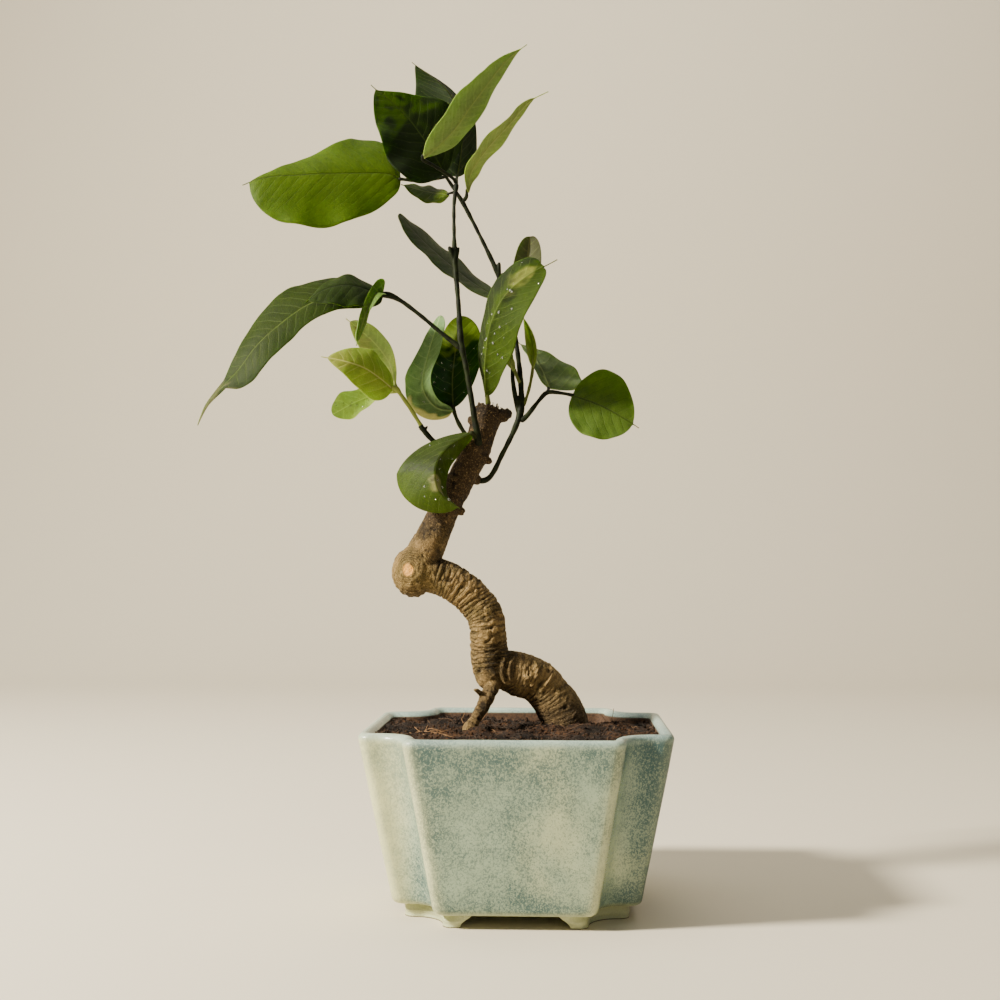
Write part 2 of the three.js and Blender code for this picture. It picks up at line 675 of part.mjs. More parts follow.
const LEAVES = {
  // terminal leaf of the front shoot: one leaflet up behind, one pale one arching forward
  leaf_top: {
    stalks: [
      [
        [-28, -4, 320.2, 0.9],
        [-28, -1.6, 323, 0.8],
        [-27.9, 1, 326.4, 0.7],
      ],
      [
        [-28, -2.8, 322, 0.9],
        [-29.6, -8, 322.8, 0.8],
        [-36.6, -18.6, 324.8, 0.7],
        [-41.4, -24, 326.8, 0.9],
        [-39.2, -24.6, 328.8, 0.8],
      ],
    ],
    blades: [
      {
        rib: [
          [-27.9, 1, 325.5],
          [-26.4, 6, 339.6],
          [-26.9, 12, 357],
          [-34.3, 16, 371.5],
          [-50.6, 18, 385.6],
        ],
        a: [[-27, 10, 5]],
        b: [[5.6, 13, 2.8]],
        shapeA: [0.6, 0.92],
        shapeB: [0.5, 1.1],
        drip: 0.03,
      },
      {
        rib: [
          [-41, -24, 327.2],
          [-29, -26, 337.5],
          [-21, -28, 347.4],
          [-12.7, -28, 358.8],
          [-4.9, -26, 369.2],
          [4.4, -23, 377.4],
        ],
        a: [[-3.4, -10, 2.8]],
        b: [[3.6, 10, -2.4]],
        shapeA: [0.66, 1.1],
        shapeB: [0.78, 1],
        drip: 0.04,
        curl: -0.06,
      },
    ],
  },
  // terminal leaf of the right shoot: two broad leaflets, a small one and a narrow one
  leaf_crossing: {
    stalks: [
      [
        [-25.6, 3.8, 314.8, 1],
        [-29.4, 2, 320.4, 0.8],
        [-34.4, -1.6, 327.4, 0.8],
      ],
      [
        [-33, -0.6, 325.2, 0.7],
        [-43, -0.4, 323.6, 0.7],
        [-54.4, -1.8, 324.2, 0.8],
      ],
      [
        [-25.2, 3.6, 315, 1],
        [-23.6, 1.6, 316.6, 0.8],
        [-23.5, -0.2, 319.6, 0.6],
      ],
      [
        [-28.4, 2.6, 319, 0.7],
        [-30.4, 4.6, 319.4, 0.6],
        [-33, 6.4, 319.2, 0.6],
      ],
    ],
    blades: [
      {
        rib: [
          [-53.2, -2, 323.8],
          [-58.2, -3, 326.4],
          [-76.7, -7, 325.8],
          [-97.1, -10, 324.5],
          [-115.8, -12, 322.4],
          [-124.4, -10, 320],
        ],
        a: [
          [-0.5, 8, 18.6],
          [-0.5, 9, 21],
          [-0.5, 8, 14],
          [-0.5, 5, 8],
        ],
        b: [[1.8, -10, -24.8]],
        shapeA: [0.56, 0.8],
        shapeB: [1.12, 0.42],
        drip: 0.05,
        wave: 0.07,
        rows: 10,
      },
      {
        rib: [
          [-33.6, -1.4, 326.2],
          [-39.3, -3, 336],
          [-51, -4, 352.2],
          [-66.9, -5, 366.6],
        ],
        a: [[-13.7, -8, -15.4]],
        b: [[13.6, 7, 14.8]],
        shapeA: [0.7, 0.7],
        shapeB: [0.6, 1.1],
        drip: 0.06,
      },
      {
        rib: [
          [-23.6, 0, 318.2],
          [-22.8, -2, 325.4],
          [-14.6, -5, 336.8],
          [-3.4, -7, 348],
          [4.3, -8, 356.7],
          [13.8, -6, 362.3],
        ],
        a: [[-1.4, -9, 0.9]],
        b: [[1.4, 9, -0.9]],
        shapeA: [0.72, 0.7],
        shapeB: [0.72, 0.7],
        curl: 0.06,
        drip: 0.12,
      },
      {
        rib: [
          [-31.9, 6, 319.1],
          [-42, 10, 321.8],
          [-55, 13, 326.1],
        ],
        a: [[-0.6, 8, 6]],
        b: [[0, -5, -6]],
      },
    ],
  },
  // drooping leaf at the left, with a dark leaflet lying over it and a twisted one in front
  leaf_left: {
    stalks: [
      [
        [-25, -11, 244.6, 1.2],
        [-34.4, -12, 251.9, 0.9],
        [-43, -12.6, 259.2, 0.9],
        [-52.3, -13, 266.2, 1],
        [-57.6, -13, 268.6, 1.6],
        [-61, -13.2, 268.6, 1.2],
      ],
    ],
    blades: [
      {
        rib: [
          [-59.8, -13, 268.1],
          [-76.2, -17, 269.6],
          [-92.8, -21, 262.8],
          [-104.1, -24, 253.8],
          [-113.3, -26, 244.7],
          [-121.3, -27, 233.6],
          [-128.7, -27, 225.8],
          [-135.2, -27, 218.4],
          [-139.3, -26, 209.3],
        ],
        a: [
          [-4, 8, 9],
          [-7.6, 9, 12],
          [-8.6, 8, 11],
          [-7.6, 8, 10.4],
        ],
        b: [
          [1, -6, -12.5],
          [2.6, -5, -8.4],
          [5.4, -5, -5.8],
          [7.6, -6, -6.8],
          [10.6, -8, -8.6],
          [10, -8, -8],
        ],
        shapeA: [0.8, 0.6],
        shapeB: [1.1, 0.36],
        drip: 0.2,
        tail: 9,
        rows: 12,
      },
      {
        rib: [
          [-60.1, -13.8, 268.6],
          [-73.5, -22, 271.6],
          [-83.9, -27, 268.4],
          [-91.9, -30, 262],
        ],
        a: [[-1.1, 6, 6.4]],
        b: [[2.2, -8, -9.6]],
      },
      {
        rib: [
          [-59.4, -13.4, 269.6],
          [-62, -19, 268.5],
          [-65.2, -24, 260],
          [-67.2, -27, 251.4],
          [-69.1, -28, 243.3],
        ],
        a: [
          [1.6, 1, 7.4],
          [-2, -2, 3],
          [-4.4, -3, -2],
        ],
        b: [
          [5.4, -5, -2],
          [1.6, -1, 0],
          [2.6, 6, 1.6],
        ],
        shapeA: [0.36, 0.5],
        shapeB: [0.7, 0.5],
        rows: 10,
      },
    ],
  },
  // yellowish young leaf below it
  leaf_yellow: {
    stalks: [
      [
        [-42.8, -10.2, 210, 1],
        [-47.7, -12, 218, 0.9],
        [-51.6, -13, 223.7, 0.9],
        [-53.6, -14, 226.4, 1.3],
        [-55.6, -15.4, 226.8, 1],
      ],
      [
        [-53.2, -13.8, 226, 1],
        [-54, -12.8, 227.6, 0.8],
        [-54.8, -11.8, 230.2, 0.7],
      ],
      [
        [-53, -13.6, 225.6, 1],
        [-54.6, -13.2, 225.2, 0.8],
        [-57.6, -12.2, 225.2, 0.7],
      ],
    ],
    blades: [
      {
        rib: [
          [-54.5, -15, 226.1],
          [-60.2, -19, 230.5],
          [-66.2, -23, 234.3],
          [-72.8, -26, 236.5],
          [-84.9, -27, 239.1],
        ],
        a: [[2.4, 5, 9.2]],
        b: [[-4.6, -3, -8.2]],
        shapeA: [0.95, 0.62],
        shapeB: [0.5, 0.75],
        drip: 0.08,
      },
      {
        rib: [
          [-54, -12, 228.4],
          [-57.4, -10, 238.9],
          [-64, -8, 247.9],
          [-77.3, -7, 259.4],
        ],
        a: [
          [2.4, 4, 2],
          [3.6, 4, 4.2],
          [5, 3, 6.4],
        ],
        b: [[-6, -2, -5]],
        shapeA: [1.1, 0.55],
        rows: 9,
      },
      {
        rib: [
          [-54.7, -13, 225.5],
          [-63, -11.5, 224.4],
          [-71.4, -10.5, 221.4],
          [-82.6, -11, 215.6],
        ],
        a: [
          [-2, 3, 3.4],
          [-4.4, 4, 8.4],
        ],
        b: [
          [1, -1.4, -1.4],
          [5, -4, -5.6],
        ],
        shapeA: [1.7, 0.5],
        shapeB: [1.7, 0.5],
        drip: 0,
        wave: 0.1,
        rows: 9,
      },
    ],
  },
  // cupped dark leaf left of the shoots, in two leaflets
  leaf_mid: {
    stalks: [
      [
        [-22, 1, 205, 1.1],
        [-26.2, 3, 211, 1],
        [-29, 5, 217, 0.9],
        [-30.2, 5.4, 221.4, 1.1],
      ],
    ],
    blades: [
      {
        rib: [
          [-30.1, 5, 219.1],
          [-37.6, 1, 220.8],
          [-42.6, -1, 228.4],
          [-40.6, 1, 243],
          [-35.4, 5, 262.4],
        ],
        a: [
          [-3, 3, -6.6],
          [-9, 4, -4],
          [-4.4, 4, 1],
        ],
        b: [
          [2, -4, 6],
          [5.6, -5, 1],
          [8.4, -5, 0.6],
        ],
        shapeA: [0.72, 0.42],
        shapeB: [1.05, 0.6],
        drip: 0,
      },
      {
        rib: [
          [-29.9, 6, 220.1],
          [-30.3, 7, 232.8],
          [-29, 9, 247.8],
          [-27.4, 13, 263.6],
        ],
        a: [
          [-13, 2, -4],
          [-12.6, 2, -2.6],
          [-10.4, 2, -1.6],
          [-10, 2, -1.4],
        ],
        b: [[12.6, 4, 3.6]],
        shapeA: [0.8, 0.45],
        shapeB: [0.98, 0.55],
        drip: 0,
      },
    ],
  },
  // leaf hanging in front of the trunk
  leaf_front: {
    stalks: [
      [
        [-18.6, -6, 204.8, 1.2],
        [-19.2, -10, 206, 1.1],
        [-20.6, -13, 207, 1],
      ],
    ],
    blades: [
      {
        rib: [
          [-20.2, -12, 207],
          [-30.2, -18, 200],
          [-35, -22, 191.4],
          [-33.8, -24, 181],
          [-24.7, -21, 172.9],
        ],
        a: [
          [-14, 7, 3],
          [-17.6, 7, -2.4],
          [-12, 7, -10],
        ],
        b: [[5.6, 11, -1]],
        shapeA: [1.05, 0.5],
        shapeB: [0.7, 0.9],
        drip: 0.02,
      },
    ],
  },
  // pale leaf standing on the cut top of the trunk
  leaf_centre: {
    stalks: [
      [
        [-13.2, -3.4, 220, 1.3],
        [-13.6, -4.4, 222.6, 1.1],
        [-13.8, -6, 226, 1],
      ],
    ],
    blades: [
      {
        rib: [
          [-13.8, -5, 224.1],
          [-13.4, -14, 238.9],
          [-10.9, -20, 253.4],
          [-5, -23, 265.1],
          [5.4, -24, 274],
          [17.7, -20, 281.9],
        ],
        a: [
          [-3.4, 9, 1.6],
          [-3.8, 10, 4],
          [-6, 5, 17],
        ],
        b: [
          [9.6, -5, -2],
          [14.4, -6, -5],
          [13.6, -4, -8],
        ],
        shapeA: [1.2, 0.48],
        shapeB: [0.9, 0.6],
        drip: 0.1,
        rows: 10,
      },
    ],
  },
  // leaf behind it, in two leaflets
  leaf_back: {
    stalks: [
      [
        [-2, 5.2, 251, 1.1],
        [-1.8, 8, 253.4, 0.9],
        [-2.6, 10.4, 258, 0.8],
      ],
      [
        [-2, 8.4, 254.4, 0.8],
        [-4.4, 13.4, 258.6, 0.8],
        [-5.2, 15.8, 264, 0.7],
      ],
    ],
    blades: [
      {
        rib: [
          [-2.6, 10, 257],
          [0.6, 13, 270.8],
          [3.3, 15, 285.4],
          [5.1, 16, 301.3],
        ],
        a: [[-6.2, -3, 0]],
        b: [[7, -4, 0.6]],
        shapeA: [1.5, 0.42],
        shapeB: [1.5, 0.42],
        drip: 0,
      },
      {
        rib: [
          [-5.1, 15, 262.1],
          [-7.6, 20, 273.3],
          [-7.4, 22, 285.6],
        ],
        a: [[-5.6, -2, 0.6]],
        b: [[4.4, 5, 2]],
        shapeA: [0.95, 0.5],
        shapeB: [0.95, 0.5],
        drip: 0,
      },
    ],
  },
  // long grey-green leaf pointing up and left behind the front shoot
  leaf_grey: {
    stalks: [
      [
        [-5.4, 7.4, 269, 1],
        [-7, 9.6, 269.6, 0.9],
        [-10.8, 9, 272, 0.8],
      ],
    ],
    blades: [
      {
        rib: [
          [-9.9, 9, 271.5],
          [-22.6, 12, 280.6],
          [-36.8, 15, 292.9],
          [-48.8, 17, 304.4],
          [-56.4, 18, 313.6],
        ],
        a: [
          [2, 6, 5],
          [3, 10, 6.6],
          [2.8, 10, 6],
        ],
        b: [[-1.8, -9, -4.4]],
        shapeA: [0.9, 0.42],
        shapeB: [0.95, 0.42],
        drip: 0,
      },
    ],
  },
  // right leaf: the round leaflet and the one turned away behind its stalk
  leaf_right: {
    stalks: [
      [
        [1, -4, 212.6, 1.2],
        [3.8, -4, 215, 1.2],
        [9.4, -3, 222.2, 0.9],
        [13, -2, 225.9, 1.1],
        [18.9, -2, 225.7, 0.8],
        [25.4, -2, 224.4, 0.8],
      ],
      [
        [12.8, -1.8, 225.6, 1],
        [13.5, 1.4, 227.2, 0.8],
        [13.6, 5.4, 229.6, 0.7],
      ],
    ],
    blades: [
      {
        rib: [
          [24.3, -2, 224.3],
          [36.7, -5, 219.3],
          [46.4, -7, 213.7],
          [53.8, -8, 208.9],
        ],
        a: [[6, 6.6, 15]],
        b: [[-6.4, -7, -15]],
        shapeA: [0.86, 0.52],
        shapeB: [0.86, 0.52],
        drip: 0.1,
        wave: 0.03,
      },
      {
        rib: [
          [13.6, 4.6, 228.3],
          [9.8, 9, 238.2],
          [5.2, 13, 245.8],
          [-0.6, 17, 251.6],
        ],
        a: [[-4, -2, 1.2]],
        b: [[17, 7, -3]],
        shapeB: [0.6, 0.6],
      },
    ],
  },
  // young folded leaflet on a thin stalk
  leaf_young: {
    stalks: [
      [
        [2.2, -2.6, 219.6, 0.9],
        [4.2, -1.8, 225, 0.7],
        [6.2, -1, 234, 0.7],
        [6.7, -1.2, 239.4, 0.7],
      ],
    ],
    blades: [
      {
        rib: [
          [6.7, -1, 237.3],
          [6.3, -1.5, 245.5],
          [4.9, -1, 253.6],
          [2.1, 0, 261.3],
        ],
        a: [[-2.6, -7, -0.2]],
        b: [[2.4, -6, -1.4]],
      },
    ],
  },
  // bud leaf at the joint of the right shoot
  leaf_bud: {
    stalks: [
      [
        [0.9, 0.8, 230.4, 0.8],
        [-0.4, -3.4, 232.8, 0.8],
        [-1.8, -5, 236.6, 0.7],
      ],
    ],
    blades: [
      {
        rib: [
          [-1.4, -4.8, 235.6],
          [-3.4, -6, 241],
          [-5, -7, 246.6],
        ],
        a: [[-1.8, 2, 0]],
        b: [[1.8, -2, 0.4]],
        rows: 6,
      },
    ],
  },
};

// Each leaf's look, and what its stalk meets.
const GROWTH = {
  leaf_top: [LEAF_GREEN, "front"],
  leaf_crossing: [LEAF_GREEN, "right"],
  leaf_left: [LEAF_GREEN, "front"],
  leaf_yellow: [LEAF_YELLOW, "left"],
  leaf_mid: [LEAF_DARK, "trunk"],
  leaf_front: [LEAF_DARK, "front", "trunk"],
  leaf_centre: [LEAF_PALE, "trunk"],
  leaf_back: [LEAF_DARK, "right"],
  leaf_grey: [LEAF_DARK, "right"],
  leaf_right: [LEAF_GREEN, "right"],
  leaf_young: [LEAF_PALE, "right"],
  leaf_bud: [LEAF_PALE, "right"],
};

// Assembly

const group = new THREE.Group();

function place(name, body, look) {
  const mesh = body.getMesh();
  const count = mesh.vertProperties.length / mesh.numProp;
  const points = new Float32Array(count * 3);
  for (let i = 0; i < count; i++) {
    const from = i * mesh.numProp;
    points.set(mesh.vertProperties.subarray(from, from + 3), i * 3);
  }
  const geometry = new THREE.BufferGeometry()
    .setAttribute("position", new THREE.BufferAttribute(points, 3))
    .setIndex(new THREE.BufferAttribute(new Uint32Array(mesh.triVerts), 1));
  const piece = new THREE.Mesh(geometry, look.clone());
  piece.name = name;
  group.add(piece);
}

const trunk = makeTrunk(0);
const grown = { trunk: makeTrunk(GAP) };
const shoots = {
  front: [FRONT_SHOOT, FRONT_STUBS],
  right: [RIGHT_SHOOT, RIGHT_STUBS],
  left: [LEFT_SHOOT, LEFT_STUBS],
};

place("pot", makePot(), GLAZE);
place("drainage_net", makeNet(), NET);
place("soil", makeSoil(), EARTH);
place("trunk", trunk, BARK);
for (const [name, [nodes, stubs]] of Object.entries(shoots)) {
  const shoot = seated(shootSolid(nodes, stubs, 0), grown.trunk);
  place("shoot_" + name, shoot, GREEN_BARK);
  grown[name] = shootSolid(nodes, stubs, GAP);
}
for (const [name, { stalks, blades }] of Object.entries(LEAVES)) {
  const [look, ...carriers] = GROWTH[name];
  const met = carriers.map((one) => grown[one]);
  place(name, seated(leafSolid(stalks, blades), ...met), look);
}

// The whole stands with the middle of its box over the origin and its foot at height 0.
const bounds = new THREE.Box3().setFromObject(group);
const middle = bounds.getCenter(new THREE.Vector3());
for (const piece of group.children) {
  piece.geometry.translate(-middle.x, -middle.y, -bounds.min.z);
}

export default group;
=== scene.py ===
"""The looks of a small pongam bonsai in a notched, glazed pot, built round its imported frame."""

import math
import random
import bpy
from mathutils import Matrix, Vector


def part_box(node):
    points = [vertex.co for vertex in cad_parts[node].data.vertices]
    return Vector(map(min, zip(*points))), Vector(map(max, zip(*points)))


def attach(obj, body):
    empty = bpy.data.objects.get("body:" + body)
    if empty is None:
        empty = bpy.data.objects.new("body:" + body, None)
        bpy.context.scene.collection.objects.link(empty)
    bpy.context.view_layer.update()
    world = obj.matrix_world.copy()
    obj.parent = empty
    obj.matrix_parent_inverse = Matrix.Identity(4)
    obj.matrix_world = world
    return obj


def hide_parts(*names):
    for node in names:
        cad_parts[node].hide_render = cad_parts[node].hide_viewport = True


bl_info = {
    "name": "Pongam Bonsai",
    "version": (1, 0, 0),
    "blender": (4, 5, 0),
    "location": "View3D > Sidebar > Bonsai",
    "description": "Builds a potted pongam bonsai, piece by piece, round its packed frame",
    "category": "Add Mesh",
}

import bmesh
import bpy
from mathutils import Matrix, Vector, kdtree, noise

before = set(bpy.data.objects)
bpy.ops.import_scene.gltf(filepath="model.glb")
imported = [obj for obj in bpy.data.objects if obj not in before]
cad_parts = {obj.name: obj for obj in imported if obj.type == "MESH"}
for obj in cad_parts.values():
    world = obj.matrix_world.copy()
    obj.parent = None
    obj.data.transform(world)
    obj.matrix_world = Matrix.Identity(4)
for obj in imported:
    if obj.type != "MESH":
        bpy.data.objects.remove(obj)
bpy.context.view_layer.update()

# Shapes are made in millimetres round the middle of the pot's foot, then brought to the frame.
MM = 0.001
POT_LOW, POT_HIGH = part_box("pot")
POT_FOOT = Vector(((POT_LOW.x + POT_HIGH.x) / 2, (POT_LOW.y + POT_HIGH.y) / 2, POT_LOW.z))
TO_FRAME = Matrix.Translation(POT_FOOT) @ Matrix.Scale(MM, 4)

# Pot: half widths and heights, as in the CAD model
POT_HEIGHT = (POT_HIGH.z - POT_LOW.z) / MM
RIM = 66.3
BASE = 52.4
NOTCH_RIM = 45.5
NOTCH_BASE = 33.5
WALL = 5.0
FOOT_HEIGHT = 6.0
FOOT_HALF = 47.5
FOOT_NOTCH = 30.0
FOOT_WIDTH = 6.5
EDGE_TUCK = 2.4
FLOOR_TOP = 11.0
DRAIN_RADIUS = 9.0
ARCH_BOTTOM = 22.5
ARCH_TOP = 17.8
ARCH_HEIGHT = 5.6
BOX_MARGIN = 0.02  # how far the wavy wall stays inside the box of the CAD model's pot
RIDGE = 5.0  # how far the vertical ridges are rounded off
COVE = 14.0  # how far the hollow of each notch reaches from its inner corner
FOOT_COVE = 12.6
SOIL_LEVEL = 75.6
SOIL_GAP = 0.3

# Trunk: the knob with its pruning scar, and the torn cut at the top
KNOB = Vector((-46.4, -5, 145.6))
SCAR = Vector((-47.8, -13.2, 146.6))
SCAR_FACING = Vector((-0.16, -0.98, 0.05)).normalized()
CUT_TOP = Vector((-12.4, 0, 217.6))

# Camera: where it stands from the middle of the pot's foot, and where it points
EYE = Vector((17.4, -606.0, 146.2))
EYE_TURN = math.radians(2.42)
EYE_TILT = math.radians(2.97)
SENSOR = 36.0
FOCAL_SHARE = 1.35  # focal length as a share of the picture's width


# Small helpers


def tone(red, green, blue):
    """A colour given as screen values from 0 to 255, as the linear colour that sockets take."""

    def linear(value):
        share = value / 255
        return share / 12.92 if share <= 0.04045 else ((share + 0.055) / 1.055) ** 2.4

    return (linear(red), linear(green), linear(blue), 1.0)


def blended(first, second, share):
    return first + (second - first) * share


def eased(low, high, value):
    """0 below low, 1 above high, and a smooth step between them."""
    share = min(max((value - low) / (high - low), 0.0), 1.0)
    return share * share * (3 - 2 * share)


def rough(place, scale, seed=0.0):
    """A smooth random number round 0 for a place in millimetres."""
    return noise.noise(Vector(place) * scale + Vector((seed, seed * 1.7, -seed)))


def heaped(x, y, middle_x, middle_y, reach):
    return math.exp(-((x - middle_x) ** 2 + (y - middle_y) ** 2) / reach**2)


# Shader maths


class Value:
    """A socket of a look, used in Python sums: each sum adds its Math node."""

    def __init__(self, look, socket):
        self.look = look
        self.socket = socket

    def maths(self, operation, *terms):
        settings = {"operation": operation}
        return self.look.node("Math", settings, dict(enumerate(terms)))

    def __add__(self, other):
        return self.maths("ADD", self, other)

    def __radd__(self, other):
        return self.maths("ADD", other, self)

    def __sub__(self, other):
        return self.maths("SUBTRACT", self, other)

    def __rsub__(self, other):
        return self.maths("SUBTRACT", other, self)

    def __mul__(self, other):
        return self.maths("MULTIPLY", self, other)

    def __rmul__(self, other):
        return self.maths("MULTIPLY", other, self)

    def __truediv__(self, other):
        return self.maths("DIVIDE", self, other)

    def __pow__(self, other):
        return self.maths("POWER", self, other)

    def __abs__(self):
        return self.maths("ABSOLUTE", self)

    def part(self):
        """What is left after the whole number."""
        return self.maths("FRACT", self)

    def most(self, other):
        return self.maths("MAXIMUM", self, other)

    def least(self, other):
        return self.maths("MINIMUM", self, other)

    def ease(self, low, high):
        """0 where the value is at low, 1 where it is at high, and smooth between them."""
        ends = {"Value": self, "From Min": low, "From Max": high}
        return self.look.node("MapRange", {"interpolation_type": "SMOOTHSTEP"}, ends)


class Look:
    """A material under construction: its node tree and the few patterns that the pieces share."""

    def __init__(self, name):
        self.material = bpy.data.materials.new(name)
        self.material.use_nodes = True
        self.tree = self.material.node_tree
        self.tree.nodes.clear()

    def node(self, kind, settings, inputs, output=0):
        made = self.tree.nodes.new("ShaderNode" + kind)
        for name, value in settings.items():
            setattr(made, name, value)
        for name, value in inputs.items():
            socket = made.inputs[name]
            if isinstance(value, Value):
                self.tree.links.new(value.socket, socket)
            else:
                socket.default_value = value
        return Value(self, made.outputs[output]) if made.outputs else None

    def place(self):
        """Where the surface is, in millimetres from the middle of the pot's foot."""
        raw = self.node("TexCoord", {}, {}, "Object")
        moved = self.node("VectorMath", {"operation": "SUBTRACT"}, {0: raw, 1: POT_FOOT})
        return self.node("VectorMath", {"operation": "SCALE"}, {0: moved, "Scale": 1 / MM})

    def axes(self, vector):
        made = self.tree.nodes.new("ShaderNodeSeparateXYZ")
        self.tree.links.new(vector.socket, made.inputs[0])
        return [Value(self, socket) for socket in made.outputs]

    def point(self, x, y, z=0.0):
        return self.node("CombineXYZ", {}, {0: x, 1: y, 2: z})

    def stretched(self, vector, x, y, z):
        return self.node("VectorMath", {"operation": "MULTIPLY"}, {0: vector, 1: (x, y, z)})

    def cloud(self, vector, scale, detail=2.0, warp=0.0, roughness=0.5):
        inputs = {
            "Vector": vector,
            "Scale": scale,
            "Detail": detail,
            "Distortion": warp,
            "Roughness": roughness,
        }
        return self.node("TexNoise", {}, inputs)

    def away(self, vector, spot):
        """Distance from a spot in millimetres."""
        return self.node("VectorMath", {"operation": "DISTANCE"}, {0: vector, 1: spot}, "Value")

    def cells(self, vector, scale, feature="F1", output="Distance"):
        return self.node(
            "TexVoronoi", {"feature": feature}, {"Vector": vector, "Scale": scale}, output
        )

    def kept(self, name, output="Fac"):
        """A number or colour that the mesh keeps at each of its points."""
        return self.node("Attribute", {"attribute_name": name}, {}, output)

    def mixed(self, share, first, second, way="MIX"):
        """A colour between two colours; a share of 0 gives the first."""
        settings = {"data_type": "RGBA", "blend_type": way}
        made = self.tree.nodes.new("ShaderNodeMix")
        for name, value in settings.items():
            setattr(made, name, value)
        sockets = [s for s in made.inputs if s.enabled]
        for socket, value in zip(sockets, (share, first, second)):
            if isinstance(value, Value):
                self.tree.links.new(value.socket, socket)
            else:
                socket.default_value = value
        return Value(self, next(s for s in made.outputs if s.enabled))

    def bumped(self, height, depth):
        """A normal from a height that is 0 to 1, depth millimetres deep."""
        return self.node("Bump", {}, {"Height": height, "Distance": depth * MM, "Strength": 1.0})

    def surface(self, **sockets):
        """The main shader. Sockets are named with _ for a space."""
        inputs = {name.replace("_", " "): value for name, value in sockets.items()}
        return self.node("BsdfPrincipled", {}, inputs)

    def finish(self, shader):
        self.node("OutputMaterial", {}, {"Surface": shader})
        return self.material


# Curves and meshes


def curve_point(points, share):
    """A point of the smooth curve through the points, as the CAD model's curves run."""
    last = len(points) - 1
    place = min(max(share, 0.0), 1.0) * last
    i = min(int(place), last - 1)
    u = place - i
    p1, p2 = points[i], points[i + 1]
    p0 = points[i - 1] if i > 0 else 2 * p1 - p2
    p3 = points[i + 2] if i + 2 <= last else 2 * p2 - p1
    d0, d1, d2 = [
        max((b - a).length_squared ** 0.25, 1e-4) for a, b in ((p0, p1), (p1, p2), (p2, p3))
    ]
    t1 = ((p1 - p0) / d0 - (p2 - p0) / (d0 + d1) + (p2 - p1) / d1) * d1
    t2 = ((p2 - p1) / d1 - (p3 - p1) / (d1 + d2) + (p3 - p2) / d2) * d1
    c2 = -3 * p1 + 3 * p2 - 2 * t1 - t2
    c3 = 2 * p1 - 2 * p2 + t1 + t2
    return p1 + t1 * u + c2 * u**2 + c3 * u**3


def curve_forward(points, share):
    step = 1e-4
    ahead = curve_point(points, share + step) - curve_point(points, share - step)
    return ahead.normalized()


class Route:
    """A curve whose shares are lengths along it."""

    def __init__(self, nodes, samples=30):
        self.points = [Vector(node[:3]) for node in nodes]
        count = samples * (len(nodes) - 1)
        self.shares = [i / count for i in range(count + 1)]
        self.run = [0.0]
        before = self.points[0]
        for share in self.shares[1:]:
            here = curve_point(self.points, share)
            self.run.append(self.run[-1] + (here - before).length)
            before = here
        self.length = self.run[-1]

    def share_at(self, along):
        """The curve's own share at a share of its length."""
        want = min(max(along, 0.0), 1.0) * self.length
        low, high = 0, len(self.run) - 1
        while high - low > 1:
            middle = (low + high) // 2
            if self.run[middle] <= want:
                low = middle
            else:
                high = middle
        span = self.run[high] - self.run[low] or 1.0
        return blended(self.shares[low], self.shares[high], (want - self.run[low]) / span)

    def at(self, along):
        share = self.share_at(along)
        return curve_point(self.points, share), curve_forward(self.points, share)


def radius_at(nodes, share):
    place = min(max(share, 0.0), 1.0) * (len(nodes) - 1)
    i = min(int(place), len(nodes) - 2)
    return blended(nodes[i][3], nodes[i + 1][3], eased(0, 1, place - i))


def grid_shares(shape, columns, rows):
    """A new grid and, for each of its points, how far it is across and along, from 0 to 1."""
    made = bmesh.ops.create_grid(shape, x_segments=columns, y_segments=rows, size=1)["verts"]
    return [(vert, (vert.co.x + 1) / 2, (vert.co.y + 1) / 2) for vert in made]


def tube(shape, nodes, sides, rows, rounded=False, relief=None):
    """A round stem along its nodes, each [x, y, z, radius], closed at both ends."""
    route = Route(nodes)
    across = Vector((1, 0.02, 0.03))
    rings = []
    for row in range(rows + 1):
        along = row / rows
        if rounded:
            along = 0.5 - 0.5 * math.cos(math.pi * along)
        share = route.share_at(along)
        centre = curve_point(route.points, share)
        ahead = curve_forward(route.points, share)
        across = (across - ahead * across.dot(ahead)).normalized()
        radius = radius_at(nodes, share)
        if rounded:
            left = min(along, 1 - along) * route.length / radius
            radius *= math.sqrt(max(1 - max(1 - left, 0.0) ** 2, 0.0004))
        rings.append((centre, across, ahead.cross(across), radius, along * route.length))
    verts = grid_shares(shape, sides, rows)
    run = shape.verts.layers.float.get("along")
    for vert, round_share, along in verts:
        centre, side, third, radius, length = rings[round(along * rows)]
        angle = 2 * math.pi * round_share
        if relief:
            radius += relief(length, angle)
        vert.co = centre + side * (radius * math.cos(angle)) + third * (radius * math.sin(angle))
        if run:
            vert[run] = length
    closed(shape, [vert for vert, _, _ in verts])
    return route


def closed(shape, verts):
    """Merges a wrapped grid's seam, closes its open ends and turns its faces outwards."""
    bmesh.ops.remove_doubles(shape, verts=verts, dist=1e-3)
    kept = [vert for vert in verts if vert.is_valid]
    edges = {edge for vert in kept for edge in vert.link_edges if edge.is_boundary}
    bmesh.ops.holes_fill(shape, edges=list(edges), sides=0)
    faces = {face for vert in kept for face in vert.link_faces}
    bmesh.ops.recalc_face_normals(shape, faces=list(faces))


def mesh_of(shape, name):
    mesh = bpy.data.meshes.new(name)
    shape.to_mesh(mesh)
    shape.free()
    return mesh


def added(shape, part, name):
    """Adds a smaller shape to a shape."""
    mesh = mesh_of(part, name)
    shape.from_mesh(mesh)
    bpy.data.meshes.remove(mesh)


